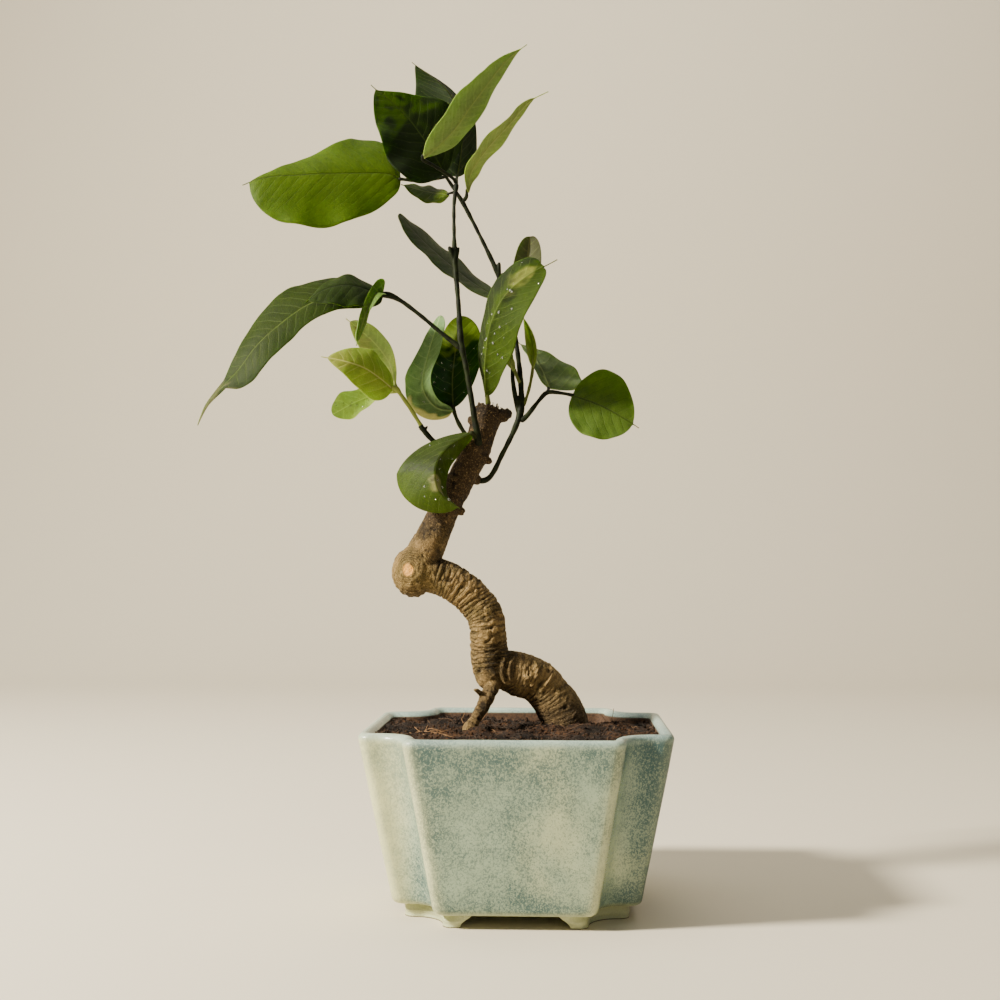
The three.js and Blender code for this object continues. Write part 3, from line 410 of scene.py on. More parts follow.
def piece_of(shape, name, looks, slot, *nodes):
    """Brings a shape to the frame and makes it a piece that stands for its CAD nodes."""
    bmesh.ops.transform(shape, matrix=TO_FRAME, verts=shape.verts)
    for face in shape.faces:
        face.smooth = True
    piece = bpy.data.objects.new(name, mesh_of(shape, name))
    for look in looks:
        piece.data.materials.append(look)
    bpy.context.scene.collection.objects.link(piece)
    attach(piece, "root")
    if nodes:
        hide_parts(*nodes)
    return piece


def fused(shape, voxel):
    """The shape's closed bodies made one skin, in a new bmesh."""
    block = bpy.data.objects.new("block", mesh_of(shape, "block"))
    bpy.context.scene.collection.objects.link(block)
    skin = block.modifiers.new("skin", "REMESH")
    skin.mode = "VOXEL"
    skin.voxel_size = voxel
    seen = block.evaluated_get(bpy.context.evaluated_depsgraph_get())
    made = bmesh.new()
    made.from_mesh(seen.data)
    mesh = block.data
    bpy.data.objects.remove(block)
    bpy.data.meshes.remove(mesh)
    return made


def softened(shape, rounds, factor=0.5):
    for _ in range(rounds):
        bmesh.ops.smooth_vert(
            shape,
            verts=shape.verts,
            factor=factor,
            use_axis_x=True,
            use_axis_y=True,
            use_axis_z=True,
        )


# Pot


def wall_at(height, inset):
    """Half width and notch of the wall at a height, moved in by an inset."""
    share = (height - FOOT_HEIGHT) / (POT_HEIGHT - FOOT_HEIGHT)
    return blended(BASE, RIM, share) - inset, blended(NOTCH_BASE, NOTCH_RIM, share) - inset


def carried(plan, half, notch):
    """A point of the rim's plan, brought to another half width and notch."""

    def moved(value):
        size = abs(value)
        inner = min(size, NOTCH_RIM) * notch / NOTCH_RIM
        outer = max(size - NOTCH_RIM, 0) * (half - notch) / (RIM - NOTCH_RIM)
        return math.copysign(inner + outer, value)

    return moved(plan.x), moved(plan.y)


def rounded_corners(shape, verts, offset, segments):
    bmesh.ops.bevel(
        shape,
        geom=verts,
        offset=offset,
        segments=segments,
        profile=0.5,
        affect="VERTICES",
        material=-1,
    )


def notched_plan(shape, step):
    """The rim's plan, flat at height 0: a square with a rounded notch at each corner."""
    inner, outer = [], []
    around = []
    for quarter in range(4):
        turn = Matrix.Rotation(quarter * math.pi / 2, 3, "Z")
        for x, y in ((NOTCH_RIM, -RIM), (NOTCH_RIM, -NOTCH_RIM), (RIM, -NOTCH_RIM)):
            vert = shape.verts.new(turn @ Vector((x, y, 0)))
            around.append(vert)
            (inner if x == -y else outer).append(vert)
    shape.faces.new(around)
    rounded_corners(shape, inner, COVE, 14)
    rounded_corners(shape, outer, RIDGE, 8)
    for edge in list(shape.edges):
        cuts = int(edge.calc_length() / step)
        if cuts:
            bmesh.ops.subdivide_edges(shape, edges=[edge], cuts=cuts)


def glazed_wall(shape):
    """The pot's wall, rim, inside and floor as one skin swept from the notched plan."""
    notched_plan(shape, 2.5)
    plan = shape.verts.layers.float_vector.new("plan")
    inside = shape.verts.layers.float.new("inside")
    for vert in shape.verts:
        vert[plan] = vert.co
    bmesh.ops.delete(shape, geom=list(shape.faces), context="FACES_ONLY")

    lip_low = POT_HEIGHT - 3.1
    rows = [(FOOT_HEIGHT, EDGE_TUCK + 1.4, 0), (FOOT_HEIGHT - 0.35, EDGE_TUCK + 0.3, 0)]
    rows += [(FOOT_HEIGHT, 1.3, 0), (FOOT_HEIGHT + 0.7, 0.55, 0), (FOOT_HEIGHT + 1.8, 0.1, 0)]
    climb = 24
    rows += [(blended(8.8, lip_low, i / climb), 0.0, 0) for i in range(climb + 1)]
    turns = 12
    for i in range(1, turns + 1):
        angle = math.pi * i / turns
        inset = WALL / 2 - (WALL / 2 + 0.05) * math.cos(angle)
        clay = eased(turns - 2.6, turns - 0.4, i)
        rows.append((lip_low + 3.1 * math.sin(angle), inset, clay))
    rows += [(lip_low - 1.4, WALL, 1), (lip_low - 3, WALL, 1), (60, WALL, 1), (30, WALL, 1)]
    rows += [(15, WALL, 1), (12.5, WALL + 0.4, 1), (FLOOR_TOP, WALL + 2.2, 1)]

    ring = list(shape.edges)
    first = ring

    def settle(height, place, clay):
        for vert in {v for edge in ring for v in edge.verts}:
            vert.co = (*place(vert[plan]), height)
            vert[inside] = clay

    def drain(plan_point):
        return (plan_point.xy.normalized() * DRAIN_RADIUS)[:]

    settle(FOOT_HEIGHT, drain, 1)
    for height, inset, clay in rows:
        made = bmesh.ops.extrude_edge_only(shape, edges=ring)["geom"]
        ring = [
            item
            for item in made
            if isinstance(item, bmesh.types.BMEdge) and item.is_boundary and item not in first
        ]
        settle(height, lambda p, h=height, i=inset: carried(p, *wall_at(h, i)), clay)
    made = bmesh.ops.extrude_edge_only(shape, edges=ring)["geom"]
    ring = [item for item in made if isinstance(item, bmesh.types.BMEdge) and item.is_boundary]
    settle(FLOOR_TOP, drain, 1)
    bmesh.ops.bridge_loops(shape, edges=first + ring)


def bracket_feet(shape):
    """Four feet that follow the notched corners, their ends cut in a shallow ogee."""
    outer = [
        (ARCH_BOTTOM, -FOOT_HALF),
        (FOOT_NOTCH, -FOOT_HALF),
        (FOOT_NOTCH, -FOOT_NOTCH),
        (FOOT_HALF, -FOOT_NOTCH),
        (FOOT_HALF, -ARCH_BOTTOM),
    ]
    inner = [
        (FOOT_HALF - FOOT_WIDTH, -ARCH_BOTTOM),
        (FOOT_HALF - FOOT_WIDTH, FOOT_WIDTH - FOOT_NOTCH),
        (FOOT_NOTCH - FOOT_WIDTH, FOOT_WIDTH - FOOT_NOTCH),
        (FOOT_NOTCH - FOOT_WIDTH, FOOT_WIDTH - FOOT_HALF),
        (ARCH_BOTTOM, FOOT_WIDTH - FOOT_HALF),
    ]
    spread = [(0, -0.75), (0.25, -0.3), (0.8, 0), (2, 0.1), (3.2, 0.18), (4.2, 0.25)]
    spread += [(4.9, 0.3), (5.3, 0.35), (ARCH_HEIGHT, 0.4), (7.4, 0.4)]
    for quarter in range(4):
        foot = bmesh.new()
        verts = [foot.verts.new((x, y, 0)) for x, y in outer + inner]
        face = foot.faces.new(verts)
        rounded_corners(foot, [verts[1], verts[3]], RIDGE - 0.4, 6)
        rounded_corners(foot, [verts[2]], FOOT_COVE, 10)
        face = next(iter(foot.faces))
        plans = {}
        for height, _ in spread[1:]:
            made = bmesh.ops.extrude_face_region(foot, geom=[face])["geom"]
            face = next(item for item in made if isinstance(item, bmesh.types.BMFace))
            for vert in face.verts:
                vert.co.z = height
        for vert in foot.verts:
            plans[vert] = shaped_foot(vert.co, spread)
        for vert, place in plans.items():
            vert.co = place
        bmesh.ops.recalc_face_normals(foot, faces=foot.faces)
        turn = Matrix.Rotation(quarter * math.pi / 2, 3, "Z")
        bmesh.ops.transform(foot, matrix=turn.to_4x4(), verts=foot.verts)
        added(shape, foot, "foot")


def shaped_foot(point, spread):
    """A point of a straight foot, spread a little outwards and cut back at the foot's ends."""
    height = point.z
    grown = next(out for level, out in spread if level >= height - 1e-4)
    x, y = point.x, point.y
    cut = eased(0, ARCH_HEIGHT, height) ** 1.6
    end = blended(ARCH_BOTTOM, ARCH_TOP, cut)
    if x < ARCH_BOTTOM + 0.01:
        x = end
    if y > -ARCH_BOTTOM - 0.01:
        y = -end
    if y < -FOOT_HALF + 0.01:
        y -= grown
    if x > FOOT_HALF - 0.01:
        x += grown
    return Vector((x, y, height))


def uneven(shape):
    """Gives the wall the slight waves of hand-pressed clay under a thick glaze."""
    for vert in shape.verts:
        height = vert.co.z
        if height < 8:
            continue
        swell = 0.22 * rough(vert.co, 0.035) + 0.1 * rough(vert.co, 0.11, 5)
        fade = 1 - eased(POT_HEIGHT - 3, POT_HEIGHT - 1, height)
        vert.co += Vector((vert.normal.x, vert.normal.y, 0)) * swell * fade
        if height > POT_HEIGHT - 2:
            vert.co.z += 0.12 * rough(vert.co, 0.05, 9) - 0.12
        limit = (POT_HIGH.x - POT_LOW.x) / 2 / MM - BOX_MARGIN
        vert.co.x = min(max(vert.co.x, -limit), limit)
        vert.co.y = min(max(vert.co.y, -limit), limit)


def glaze_look(settings):
    look = Look("celadon_glaze")
    place = look.place()
    x, y, z = look.axes(place)
    broad = look.cloud(place, 0.022, 2.0, 0.3)
    puffs = look.cloud(place, 0.055, 3.0, 0.4, 0.55)
    tufts = look.cloud(place, 0.17, 3.0, 0.5, 0.6)
    # where the speckle gathers: under the rim, above the feet, beside the ridges, in loose clouds,
    # and on the right-hand side, where it is painted shade
    top = z.ease(56.0, 71.0) * (1 - z.ease(73.5, 76.5) * 0.6)
    low = 1 - z.ease(7.0, 22.0)
    # right: the pot's right-hand side, darkened towards the deep glaze and the speckle as painted
    # shade
    right = x.ease(40.0, 57.0) * (1 - y.ease(-20.0, 20.0))
    beside = x.ease(-46.0, -38.0) * (1 - x.ease(-36.0, -20.0))
    gather = puffs * 1.5 + tufts * 0.7 - 0.72 + top * 0.42 + low * 0.3 + right * 0.3
    gather = (gather + beside * 0.22 - broad.ease(0.55, 0.7) * 0.25).most(0.0).least(1.0)
    fine = look.cloud(look.stretched(place, 1.0, 1.0, 0.8), 1.4, 2.0, 0.9, 0.6)
    speckle = (fine + gather * 0.15).ease(0.53, 0.64)
    worn = look.cloud(place, 0.4, 3.0, 0.6)
    # the left side is paler, creamier and less speckled: partly the glaze's own cream, partly
    # painted light where the light from the left falls
    left = (1 - x.ease(-52.0, -38.0)) * (1 - y.ease(10.0, 40.0))
    cream_and_painted_light = (broad.ease(0.5, 0.7) * 0.35).most(left * 0.8)
    body = look.mixed(cream_and_painted_light, settings.glaze_pale, settings.glaze_cream)
    body = look.mixed((gather * 0.7).most(right * 0.6), body, settings.glaze_deep)
    shown = speckle * (0.5 + gather * 0.5) * (1 - left * 0.5) * settings.speckle
    body = look.mixed(shown, body, settings.glaze_speck)
    body = look.mixed((1 - worn.ease(0.3, 0.5)) * 0.2, body, settings.glaze_pale)
    # painted shade: the right-hand side darkened further with the speckle colour
    body = look.mixed(right * (0.35 + speckle * 0.5), body, settings.glaze_speck)
    # the glaze runs thin over the ridges and the rim, and pools in the coves; the cream on the
    # ridges is also a painted highlight, held back on the shaded right-hand side
    edge = look.kept("ridge")
    pool = look.kept("cove")
    shaded = x.ease(25.0, 52.0) * 0.8
    body = look.mixed(edge * (1 - shaded) * (1 - speckle * 0.35) * 0.75, body, settings.glaze_cream)
    body = look.mixed(pool * 0.2, body, settings.glaze_speck)
    rim = z.ease(POT_HEIGHT - 4.5, POT_HEIGHT - 1.0)
    body = look.mixed(rim * 0.65 * (1 - speckle * 0.4), body, settings.glaze_rim)
    foot = 1 - z.ease(5.0, 8.5)
    body = look.mixed(foot * 0.6, body, settings.glaze_cream)
    grain = look.cloud(place, 1.1, 4.0)
    clay = look.mixed(grain.ease(0.35, 0.65), settings.clay, settings.clay_dark)
    bare = look.kept("inside").ease(0.55, 0.95).most(1 - z.ease(0.1, 0.5))
    colour = look.mixed(bare, body, clay)
    shine = (0.2 + 0.1 * puffs + 0.2 * (speckle * gather)) * (1 - bare) + bare * 0.85
    peel = look.cloud(place, 0.35, 3.0)
    height = peel * 0.7 - speckle * gather * 0.3 + bare * grain
    return look.finish(
        look.surface(
            Base_Color=colour,
            Roughness=shine,
            Normal=look.bumped(height, 0.16),
            Specular_IOR_Level=0.5,
        )
    )


def mark_edges(shape):
    """Keeps at each point how near it is to a ridge or a cove of the wall."""
    ridge = shape.verts.layers.float.new("ridge")
    cove = shape.verts.layers.float.new("cove")
    for vert in shape.verts:
        height = max(vert.co.z, FOOT_HEIGHT)
        half, notch = wall_at(height, 0.9)
        size = sorted((abs(vert.co.x), abs(vert.co.y)))
        near = math.dist(size, (notch, half))
        vert[ridge] = math.exp(-((near / 3.4) ** 2))
        vert[cove] = math.exp(-((math.dist(size, (notch, notch)) / 4.5) ** 2))


class BonsaiPotSettings(bpy.types.PropertyGroup):
    """Glaze and clay of the pot"""

    glaze_pale: bpy.props.FloatVectorProperty(
        name="Pale glaze",
        description="Colour of the smooth cloudy places",
        default=tone(158, 178, 152),
        size=4,
        subtype="COLOR",
    )
    # the deep glaze colour also serves as painted shade on the pot's right-hand side
    glaze_deep: bpy.props.FloatVectorProperty(
        name="Deep glaze",
        description="Colour of the glaze where it is thicker",
        default=tone(124, 142, 124),
        size=4,
        subtype="COLOR",
    )
    # the speckle colour also serves as painted shade on the pot's right-hand side
    glaze_speck: bpy.props.FloatVectorProperty(
        name="Speckle",
        description="Colour of the fine speckle",
        default=tone(32, 75, 80),
        size=4,
        subtype="COLOR",
    )
    # the cream also serves as painted light on the left side and as a painted highlight on the
    # ridges
    glaze_cream: bpy.props.FloatVectorProperty(
        name="Cream",
        description="Colour of the thin glaze on the ridges",
        default=tone(216, 216, 162),
        size=4,
        subtype="COLOR",
    )
    glaze_rim: bpy.props.FloatVectorProperty(
        name="Rim",
        description="Colour of the glaze on the rim",
        default=tone(168, 190, 180),
        size=4,
        subtype="COLOR",
    )
    clay: bpy.props.FloatVectorProperty(
        name="Clay",
        description="Colour of the bare clay inside",
        default=tone(84, 58, 34),
        size=4,
        subtype="COLOR",
    )
    clay_dark: bpy.props.FloatVectorProperty(
        name="Damp clay",
        description="Colour of the damp clay inside",
        default=tone(56, 38, 22),
        size=4,
        subtype="COLOR",
    )
    speckle: bpy.props.FloatProperty(
        name="Speckle strength",
        description="How strongly the speckle shows",
        default=0.85,
        min=0.0,
        max=1.0,
        subtype="FACTOR",
    )


class BonsaiMakePot(bpy.types.Operator):
    """Make the glazed pot with its notched corners and bracket feet"""

    bl_idname = "bonsai.make_pot"
    bl_label = "Glazed Pot"

    def execute(self, context):
        shape = bmesh.new()
        glazed_wall(shape)
        bmesh.ops.recalc_face_normals(shape, faces=shape.faces)
        shape.normal_update()
        uneven(shape)
        bracket_feet(shape)
        mark_edges(shape)
        piece_of(shape, "glazed_pot", [glaze_look(context.scene.bonsai_pot)], "glaze", "pot")
        return {"FINISHED"}


# Net over the drain hole


def net_look():
    look = Look("net_plastic")
    place = look.place()
    scuff = look.cloud(place, 0.8, 3.0)
    colour = look.mixed(scuff.ease(0.4, 0.7), tone(28, 44, 34), tone(52, 66, 50))
    return look.finish(
        look.surface(
            Base_Color=colour,
            Roughness=0.45 + 0.25 * scuff,
            Normal=look.bumped(look.cloud(place, 2.0), 0.05),
        )
    )


class BonsaiFinishNet(bpy.types.Operator):
    """Give the net over the drain hole its moulded plastic"""

    bl_idname = "bonsai.finish_net"
    bl_label = "Drainage Net"

    def execute(self, context):
        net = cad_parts["drainage_net"]
        net.data.materials.clear()
        net.data.materials.append(net_look())
        return {"FINISHED"}


# Soil


def soil_height(x, y):
    """The heaped surface of the soil, as in the CAD model."""
    waves = 0.45 * math.sin(x * 0.31 + 1.3 * math.sin(y * 0.23))
    waves += 0.35 * math.sin(y * 0.47 + 1.1 * math.sin(x * 0.37))
    waves += 0.2 * math.sin(x * 0.9 + y * 0.7)
    heap = 3 * heaped(x, y, 22, 8, 20) + 1.6 * heaped(x, y, -22, -17, 12)
    sunk = 3.6 * heaped(x, y, 24, 62, 30)
    return SOIL_LEVEL - y * 0.02 + waves + heap - sunk


def crumbly(x, y):
    """The soil's surface with its clods and grains."""
    place = Vector((x, y, 0))
    clods = max(rough(place, 0.16, 3), -0.25) * 2.2
    grains = 0.6 * rough(place, 0.55, 8) + 0.35 * rough(place, 1.3, 2)
    return soil_height(x, y) - 0.4 + clods + grains


def soil_bed(shape):
    """The bed of soil, its top cut into a fine grid and set to the crumbly surface."""
    notched_plan(shape, 2.0)
    half, notch = wall_at(SOIL_LEVEL, WALL + SOIL_GAP)
    for vert in shape.verts:
        vert.co = (*carried(vert.co, half, notch), SOIL_LEVEL)
    step = 1.1
    for axis in (Vector((1, 0, 0)), Vector((0, 1, 0))):
        for i in range(-int(half / step), int(half / step) + 1):
            everything = shape.verts[:] + shape.edges[:] + shape.faces[:]
            bmesh.ops.bisect_plane(
                shape, geom=everything, plane_co=axis * (i * step + 0.07), plane_no=axis
            )
    top = list(shape.verts)
    edge = [item for item in shape.edges if item.is_boundary]
    made = bmesh.ops.extrude_edge_only(shape, edges=edge)["geom"]
    low_half, low_notch = wall_at(FLOOR_TOP + 4, WALL + SOIL_GAP + 0.2)
    low = [item for item in made if isinstance(item, bmesh.types.BMVert)]
    for vert in low:
        x = vert.co.x * low_half / half
        y = vert.co.y * low_notch / notch if abs(vert.co.y) <= notch else vert.co.y
        vert.co = (x, math.copysign(min(abs(y) * low_half / half, low_half), y), FLOOR_TOP + 2)
    rim = [item for item in made if isinstance(item, bmesh.types.BMEdge) and item.is_boundary]
    bmesh.ops.holes_fill(shape, edges=rim, sides=0)
    for vert in top:
        vert.co.z = crumbly(vert.co.x, vert.co.y)
    bmesh.ops.recalc_face_normals(shape, faces=shape.faces)


def scattered_crumbs(shape, count, chooser):
    """Small loose crumbs, in batches so that each mesh operation stays short."""
    batch = 40
    for start in range(0, count, batch):
        lot = bmesh.new()
        tint = lot.verts.layers.float.new("shade")
        for _ in range(min(batch, count - start)):
            size = 0.2 + 0.85 * chooser.random() ** 4
            spot = crumb_spot(chooser)
            lift = size * chooser.uniform(-0.1, 0.55)
            place = Vector((*spot, crumbly(*spot) + lift))
            turn = Matrix.Rotation(chooser.uniform(0, 6.28), 4, chooser_axis(chooser))
            flat = Matrix.Diagonal((1, chooser.uniform(0.4, 1), chooser.uniform(0.4, 0.9), 1))
            matrix = Matrix.Translation(place) @ turn @ flat
            made = bmesh.ops.create_icosphere(lot, subdivisions=1, radius=size, matrix=matrix)
            value = chooser.random()
            for vert in made["verts"]:
                vert.co += (vert.co - place) * (0.9 * rough(vert.co, 1.4, size))
                vert[tint] = value
        added(shape, lot, "crumbs")


def chooser_axis(chooser):
    return Vector([chooser.uniform(-1, 1) for _ in range(3)]).normalized()


def crumb_spot(chooser):
    """A place on the soil, inside the notched outline."""
    half, notch = wall_at(SOIL_LEVEL, WALL + 1.6)
    while True:
        x, y = chooser.uniform(-half, half), chooser.uniform(-half, half)
        if min(abs(x), abs(y)) < notch:
            return x, y


# strands laid one by one: x, y, length, angle, end lift, radius, shade
STRANDS = [
    (-27, -21, 21, 2.95, 0.9, 0.28, 0.9),
    (-30, -25, 17, 2.75, 0.6, 0.26, 1.0),
    (-34, -22, 15, 2.35, 1.6, 0.24, 1.0),
    (-47, -16, 12, 0.3, 1.2, 0.2, 0.95),
    (-31, -19, 13, 3.3, 1.1, 0.2, 0.9),
    (-29, -29, 12, 2.4, 0.8, 0.18, 0.8),
    (-12, -14, 9, -0.8, 0.6, 0.26, 0.5),
    (40, 18, 5, 0.6, 7.2, 0.22, 0.9),
    (41, 20, 4, 2.4, 5.4, 0.18, 0.8),
    (-22, 30, 12, 0.5, 7.4, 0.2, 0.75),
    (-26, 26, 9, 1.9, 5.2, 0.18, 0.8),
    (40, -10, 9, 1.2, 0.8, 0.3, 0.55),
    (-40, -28, 14, 0.15, 0.8, 0.2, 0.95),
    (-44, -20, 12, -0.4, 0.8, 0.2, 1.0),
    (-26, -34, 11, 2.9, 0.5, 0.18, 0.85),
]


def rootlets(shape, chooser, count):
    """Dry rootlets, bits of straw and bark lying in the surface."""
    laid = list(STRANDS)
    for _ in range(count):
        length = chooser.uniform(3, 13)
        thick = chooser.uniform(0.08, 0.19)
        lift = chooser.uniform(-0.2, 1.6)
        spot = crumb_spot(chooser)
        value = 0.5 * chooser.random() ** 2
        laid.append((*spot, length, chooser.uniform(0, 6.28), lift, thick, value))
    for x, y, length, angle, lift, radius, value in laid:
        nodes = []
        bend = chooser.uniform(-0.5, 0.5)
        for i in range(5):
            share = i / 4
            turn = angle + bend * (share - 0.5) * 2
            px = x + math.cos(turn) * length * share
            py = y + math.sin(turn) * length * share
            px, py = inside_soil(px, py)
            pz = crumbly(px, py) + 0.25 + lift * share**2 + 0.3 * math.sin(share * 7 + x)
            nodes.append([px, py, pz, radius * (1 - 0.45 * share)])
        strand = bmesh.new()
        tint = strand.verts.layers.float.new("shade")
        tube(strand, nodes, 5, 8)
        for vert in strand.verts:
            vert[tint] = value
        for face in strand.faces:
            face.material_index = 1
        added(shape, strand, "strand")


def inside_soil(x, y):
    half, notch = wall_at(SOIL_LEVEL, WALL + 0.9)
    x, y = [math.copysign(min(abs(value), half), value) for value in (x, y)]
    if min(abs(x), abs(y)) > notch:
        y = math.copysign(notch, y)
    return x, y


def earth_look(settings):
    look = Look("earth")
    place = look.place()
    broad = look.cloud(place, 0.07, 3.0)
    grain = look.cloud(place, 0.8, 5.0, 0.4, 0.7)
    bits = look.cells(place, 0.9)
    own = look.kept("shade")
    colour = look.mixed(grain.ease(0.38, 0.68), settings.dark, settings.mid)
    colour = look.mixed(broad.ease(0.42, 0.62) * 0.8 * grain.ease(0.4, 0.6), colour, settings.warm)
    colour = look.mixed((own - 0.55).most(0.0) * 0.7, colour, settings.warm)
    spots = (1 - bits.ease(0.04, 0.16)) * grain.ease(0.5, 0.6)
    colour = look.mixed(spots * 0.35, colour, settings.straw)
    return look.finish(
        look.surface(
            Base_Color=colour,
            Roughness=0.82 + 0.14 * broad,
            Normal=look.bumped(grain + 0.5 * bits, 0.6),
            Specular_IOR_Level=0.25,
        )
    )


def straw_look(settings):
    look = Look("dry_rootlets")
    place = look.place()
    own = look.kept("shade")
    streak = look.cloud(place, 1.4, 3.0)
    colour = look.mixed(own.ease(0.1, 0.85), settings.mid, settings.straw)
    colour = look.mixed(streak.ease(0.4, 0.7) * 0.5, colour, settings.warm)
    return look.finish(
        look.surface(Base_Color=colour, Roughness=0.8, Normal=look.bumped(streak, 0.15))
    )


class BonsaiSoilSettings(bpy.types.PropertyGroup):
    """Grain and colours of the soil"""

    crumbs: bpy.props.IntProperty(
        name="Crumbs", description="How many loose crumbs lie on the soil", default=4200, min=0
    )
    rootlets: bpy.props.IntProperty(
        name="Rootlets", description="How many rootlets lie in the soil", default=240, min=0
    )
    dark: bpy.props.FloatVectorProperty(
        name="Dark earth",
        description="Colour between the grains",
        default=tone(18, 12, 8),
        size=4,
        subtype="COLOR",
    )
    mid: bpy.props.FloatVectorProperty(
        name="Earth",
        description="Main colour of the soil",
        default=tone(39, 28, 18),
        size=4,
        subtype="COLOR",
    )
    warm: bpy.props.FloatVectorProperty(
        name="Warm earth",
        description="Colour of the drier clods",
        default=tone(84, 56, 32),
        size=4,
        subtype="COLOR",
    )
    straw: bpy.props.FloatVectorProperty(
        name="Straw",
        description="Colour of straw and dry rootlets",
        default=tone(136, 100, 62),
        size=4,
        subtype="COLOR",
    )


class BonsaiMakeSoil(bpy.types.Operator):
    """Make the soil with its crumbs and rootlets"""

    bl_idname = "bonsai.make_soil"
    bl_label = "Soil"

    def execute(self, context):
        settings = context.scene.bonsai_soil
        chooser = random.Random(4)
        shape = bmesh.new()
        soil_bed(shape)
        shape.verts.layers.float.new("shade")
        scattered_crumbs(shape, settings.crumbs, chooser)
        rootlets(shape, chooser, settings.rootlets)
        looks = [earth_look(settings), straw_look(settings)]
        piece_of(shape, "potting_soil", looks, "earth", "soil")
        return {"FINISHED"}


# Trunk. Each node is x, y, z and the radius there.

TRUNK_BASE = [
    [22.6, 9.5, 60, 9.6],
    [21.8, 9.2, 70, 10.4],
    [20.4, 9, 78, 10.8],
    [17.6, 8.5, 84.5, 10.1],
    [13.2, 8, 91, 9.6],
    [8.2, 7, 96, 9.8],
    [0.4, 5, 99.4, 9.9],
    [-6.8, 3, 101.5, 9],
    [-12, 1.5, 104, 6.5],
]
TRUNK_BEND = [
    [-8.5, 2, 97, 7],
    [-11.4, 1.5, 101, 8.5],
    [-12.8, 0.5, 107, 8.5],
    [-13.2, 0, 113, 8.4],
    [-13.7, -1, 119, 8.3],
    [-14.8, -1, 125.5, 8.2],
    [-18.4, -1, 131.3, 8.1],
    [-23.6, -2, 136.6, 8.1],
    [-29.6, -3, 140.8, 8.1],
    [-36.6, -4, 143.6, 8.3],
    [-43, -5, 145.2, 8],
]
TRUNK_UPPER = [
    [-45, -5, 147.5, 8.4],
    [-41.6, -4.4, 154.2, 8.1],
    [-38.6, -4, 160, 7.5],
    [-35.8, -3.4, 167.2, 6.9],
    [-32.2, -2.8, 175.3, 6.7],
    [-27.9, -2, 183, 6.4],
    [-23.5, -1, 191.2, 6.2],
    [-19.6, 0, 199.4, 6.8],
    [-16.8, 0, 207, 6.2],
    [-14.6, 0, 213.8, 6.6],
    [-12.4, 0, 219.8, 6.1],
]
PROP_ROOT = [
    [-8.5, 2, 103, 4.6],
    [-11, -3, 95.6, 3.5],
    [-13.3, -7, 90.6, 3.1],
    [-15.6, -11, 85.8, 2.8],
    [-18.4, -15, 81, 2.7],
    [-20.8, -17.8, 77, 3.1],
    [-21.6, -18.8, 70, 2.6],
    [-22, -19.2, 64, 2],
]
STUBS = [
    [[-10, 0, 215, 3.6], [-4.6, -0.6, 216.4, 3], [-2.6, -0.8, 216.2, 2.2]],
    [[-16, -1, 208.5, 3.2], [-20.6, -2, 213, 2.1], [-22.4, -2.6, 215.2, 1.5]],
    [[-14.2, -8, 90, 1.6], [-17.4, -10.4, 93, 1.2], [-19.2, -12, 93.9, 0.6]],
]
# middle and half widths of the lumps
LUMPS = [
    (KNOB, (10, 9.6, 11.4)),
    (Vector((-13.8, 0.5, 100)), (5.6, 7, 7.4)),
    (Vector((-13.6, 0, 195.4)), (2, 2, 1.7)),
    (Vector((-25.4, -3, 172.6)), (2, 2.2, 2)),
    (Vector((3.0, -3.4, 95.2)), (1.3, 1.2, 1.2)),
    (Vector((4.4, -4.4, 98.6)), (1.5, 1.2, 1.3)),
    (Vector((-18.3, -6.2, 200.4)), (2.5, 2.1, 3.2)),
    (Vector((-18.8, 1.6, 186.9)), (2.2, 2.4, 2.4)),
    (Vector((-26.2, -2.2, 197.7)), (2.2, 2, 2)),
]
# raised folds of bark that lie over the foot of the trunk
FOLDS = [
    [
        [-1.6, -0.6, 109.8, 0.7],
        [-4.3, -2.4, 108.7, 1.1],
        [-6.6, -5.7, 105.9, 1.2],
        [-7.1, -6.3, 101.6, 1.1],
        [-6.2, -5.2, 97.1, 1],
        [-2.7, -3.2, 94.6, 0.7],
    ],
    [
        [0.6, -0.2, 108.9, 0.6],
        [-2.2, -3.6, 106.6, 1],
        [-3.9, -5.6, 102.8, 1],
        [-3.7, -5.7, 99.4, 0.9],
        [-2.4, -4.4, 96.4, 0.6],
    ],
    [[13.6, 6.6, 104.4, 0.6], [14.9, 1.4, 101.2, 1], [13.3, -1.4, 96.8, 1], [9.7, -1.8, 92, 0.7]],
    [[6.4, -1.6, 106.4, 0.5], [8.4, -2.6, 103.4, 0.9], [8.2, -3.4, 99, 0.8], [5.6, -3, 94, 0.6]],
]


def splinters(shape, chooser):
    """The torn crown: short uneven spikes round the upper cut."""
    for i in range(26):
        angle = i * 2.4
        reach = 4.9 * math.sqrt((i + 0.5) / 26)
        tall = 1.6 + 2.6 * chooser.random() * (reach / 4.9) ** 0.6
        x = CUT_TOP.x + reach * math.cos(angle)
        y = CUT_TOP.y + reach * math.sin(angle)
        lean = Matrix.Rotation(chooser.uniform(-0.3, 0.3), 4, chooser_axis(chooser))
        place = Matrix.Translation((x, y, CUT_TOP.z + tall / 2)) @ lean
        bmesh.ops.create_cone(
            shape,
            cap_ends=True,
            segments=6,
            radius1=chooser.uniform(0.8, 1.5),
            radius2=0.1,
            depth=tall + 3,
            matrix=place,
        )


def lump(shape, middle, reach):
    matrix = Matrix.Translation(middle) @ Matrix.Diagonal((*reach, 1))
    bmesh.ops.create_uvsphere(shape, u_segments=32, v_segments=20, radius=1, matrix=matrix)


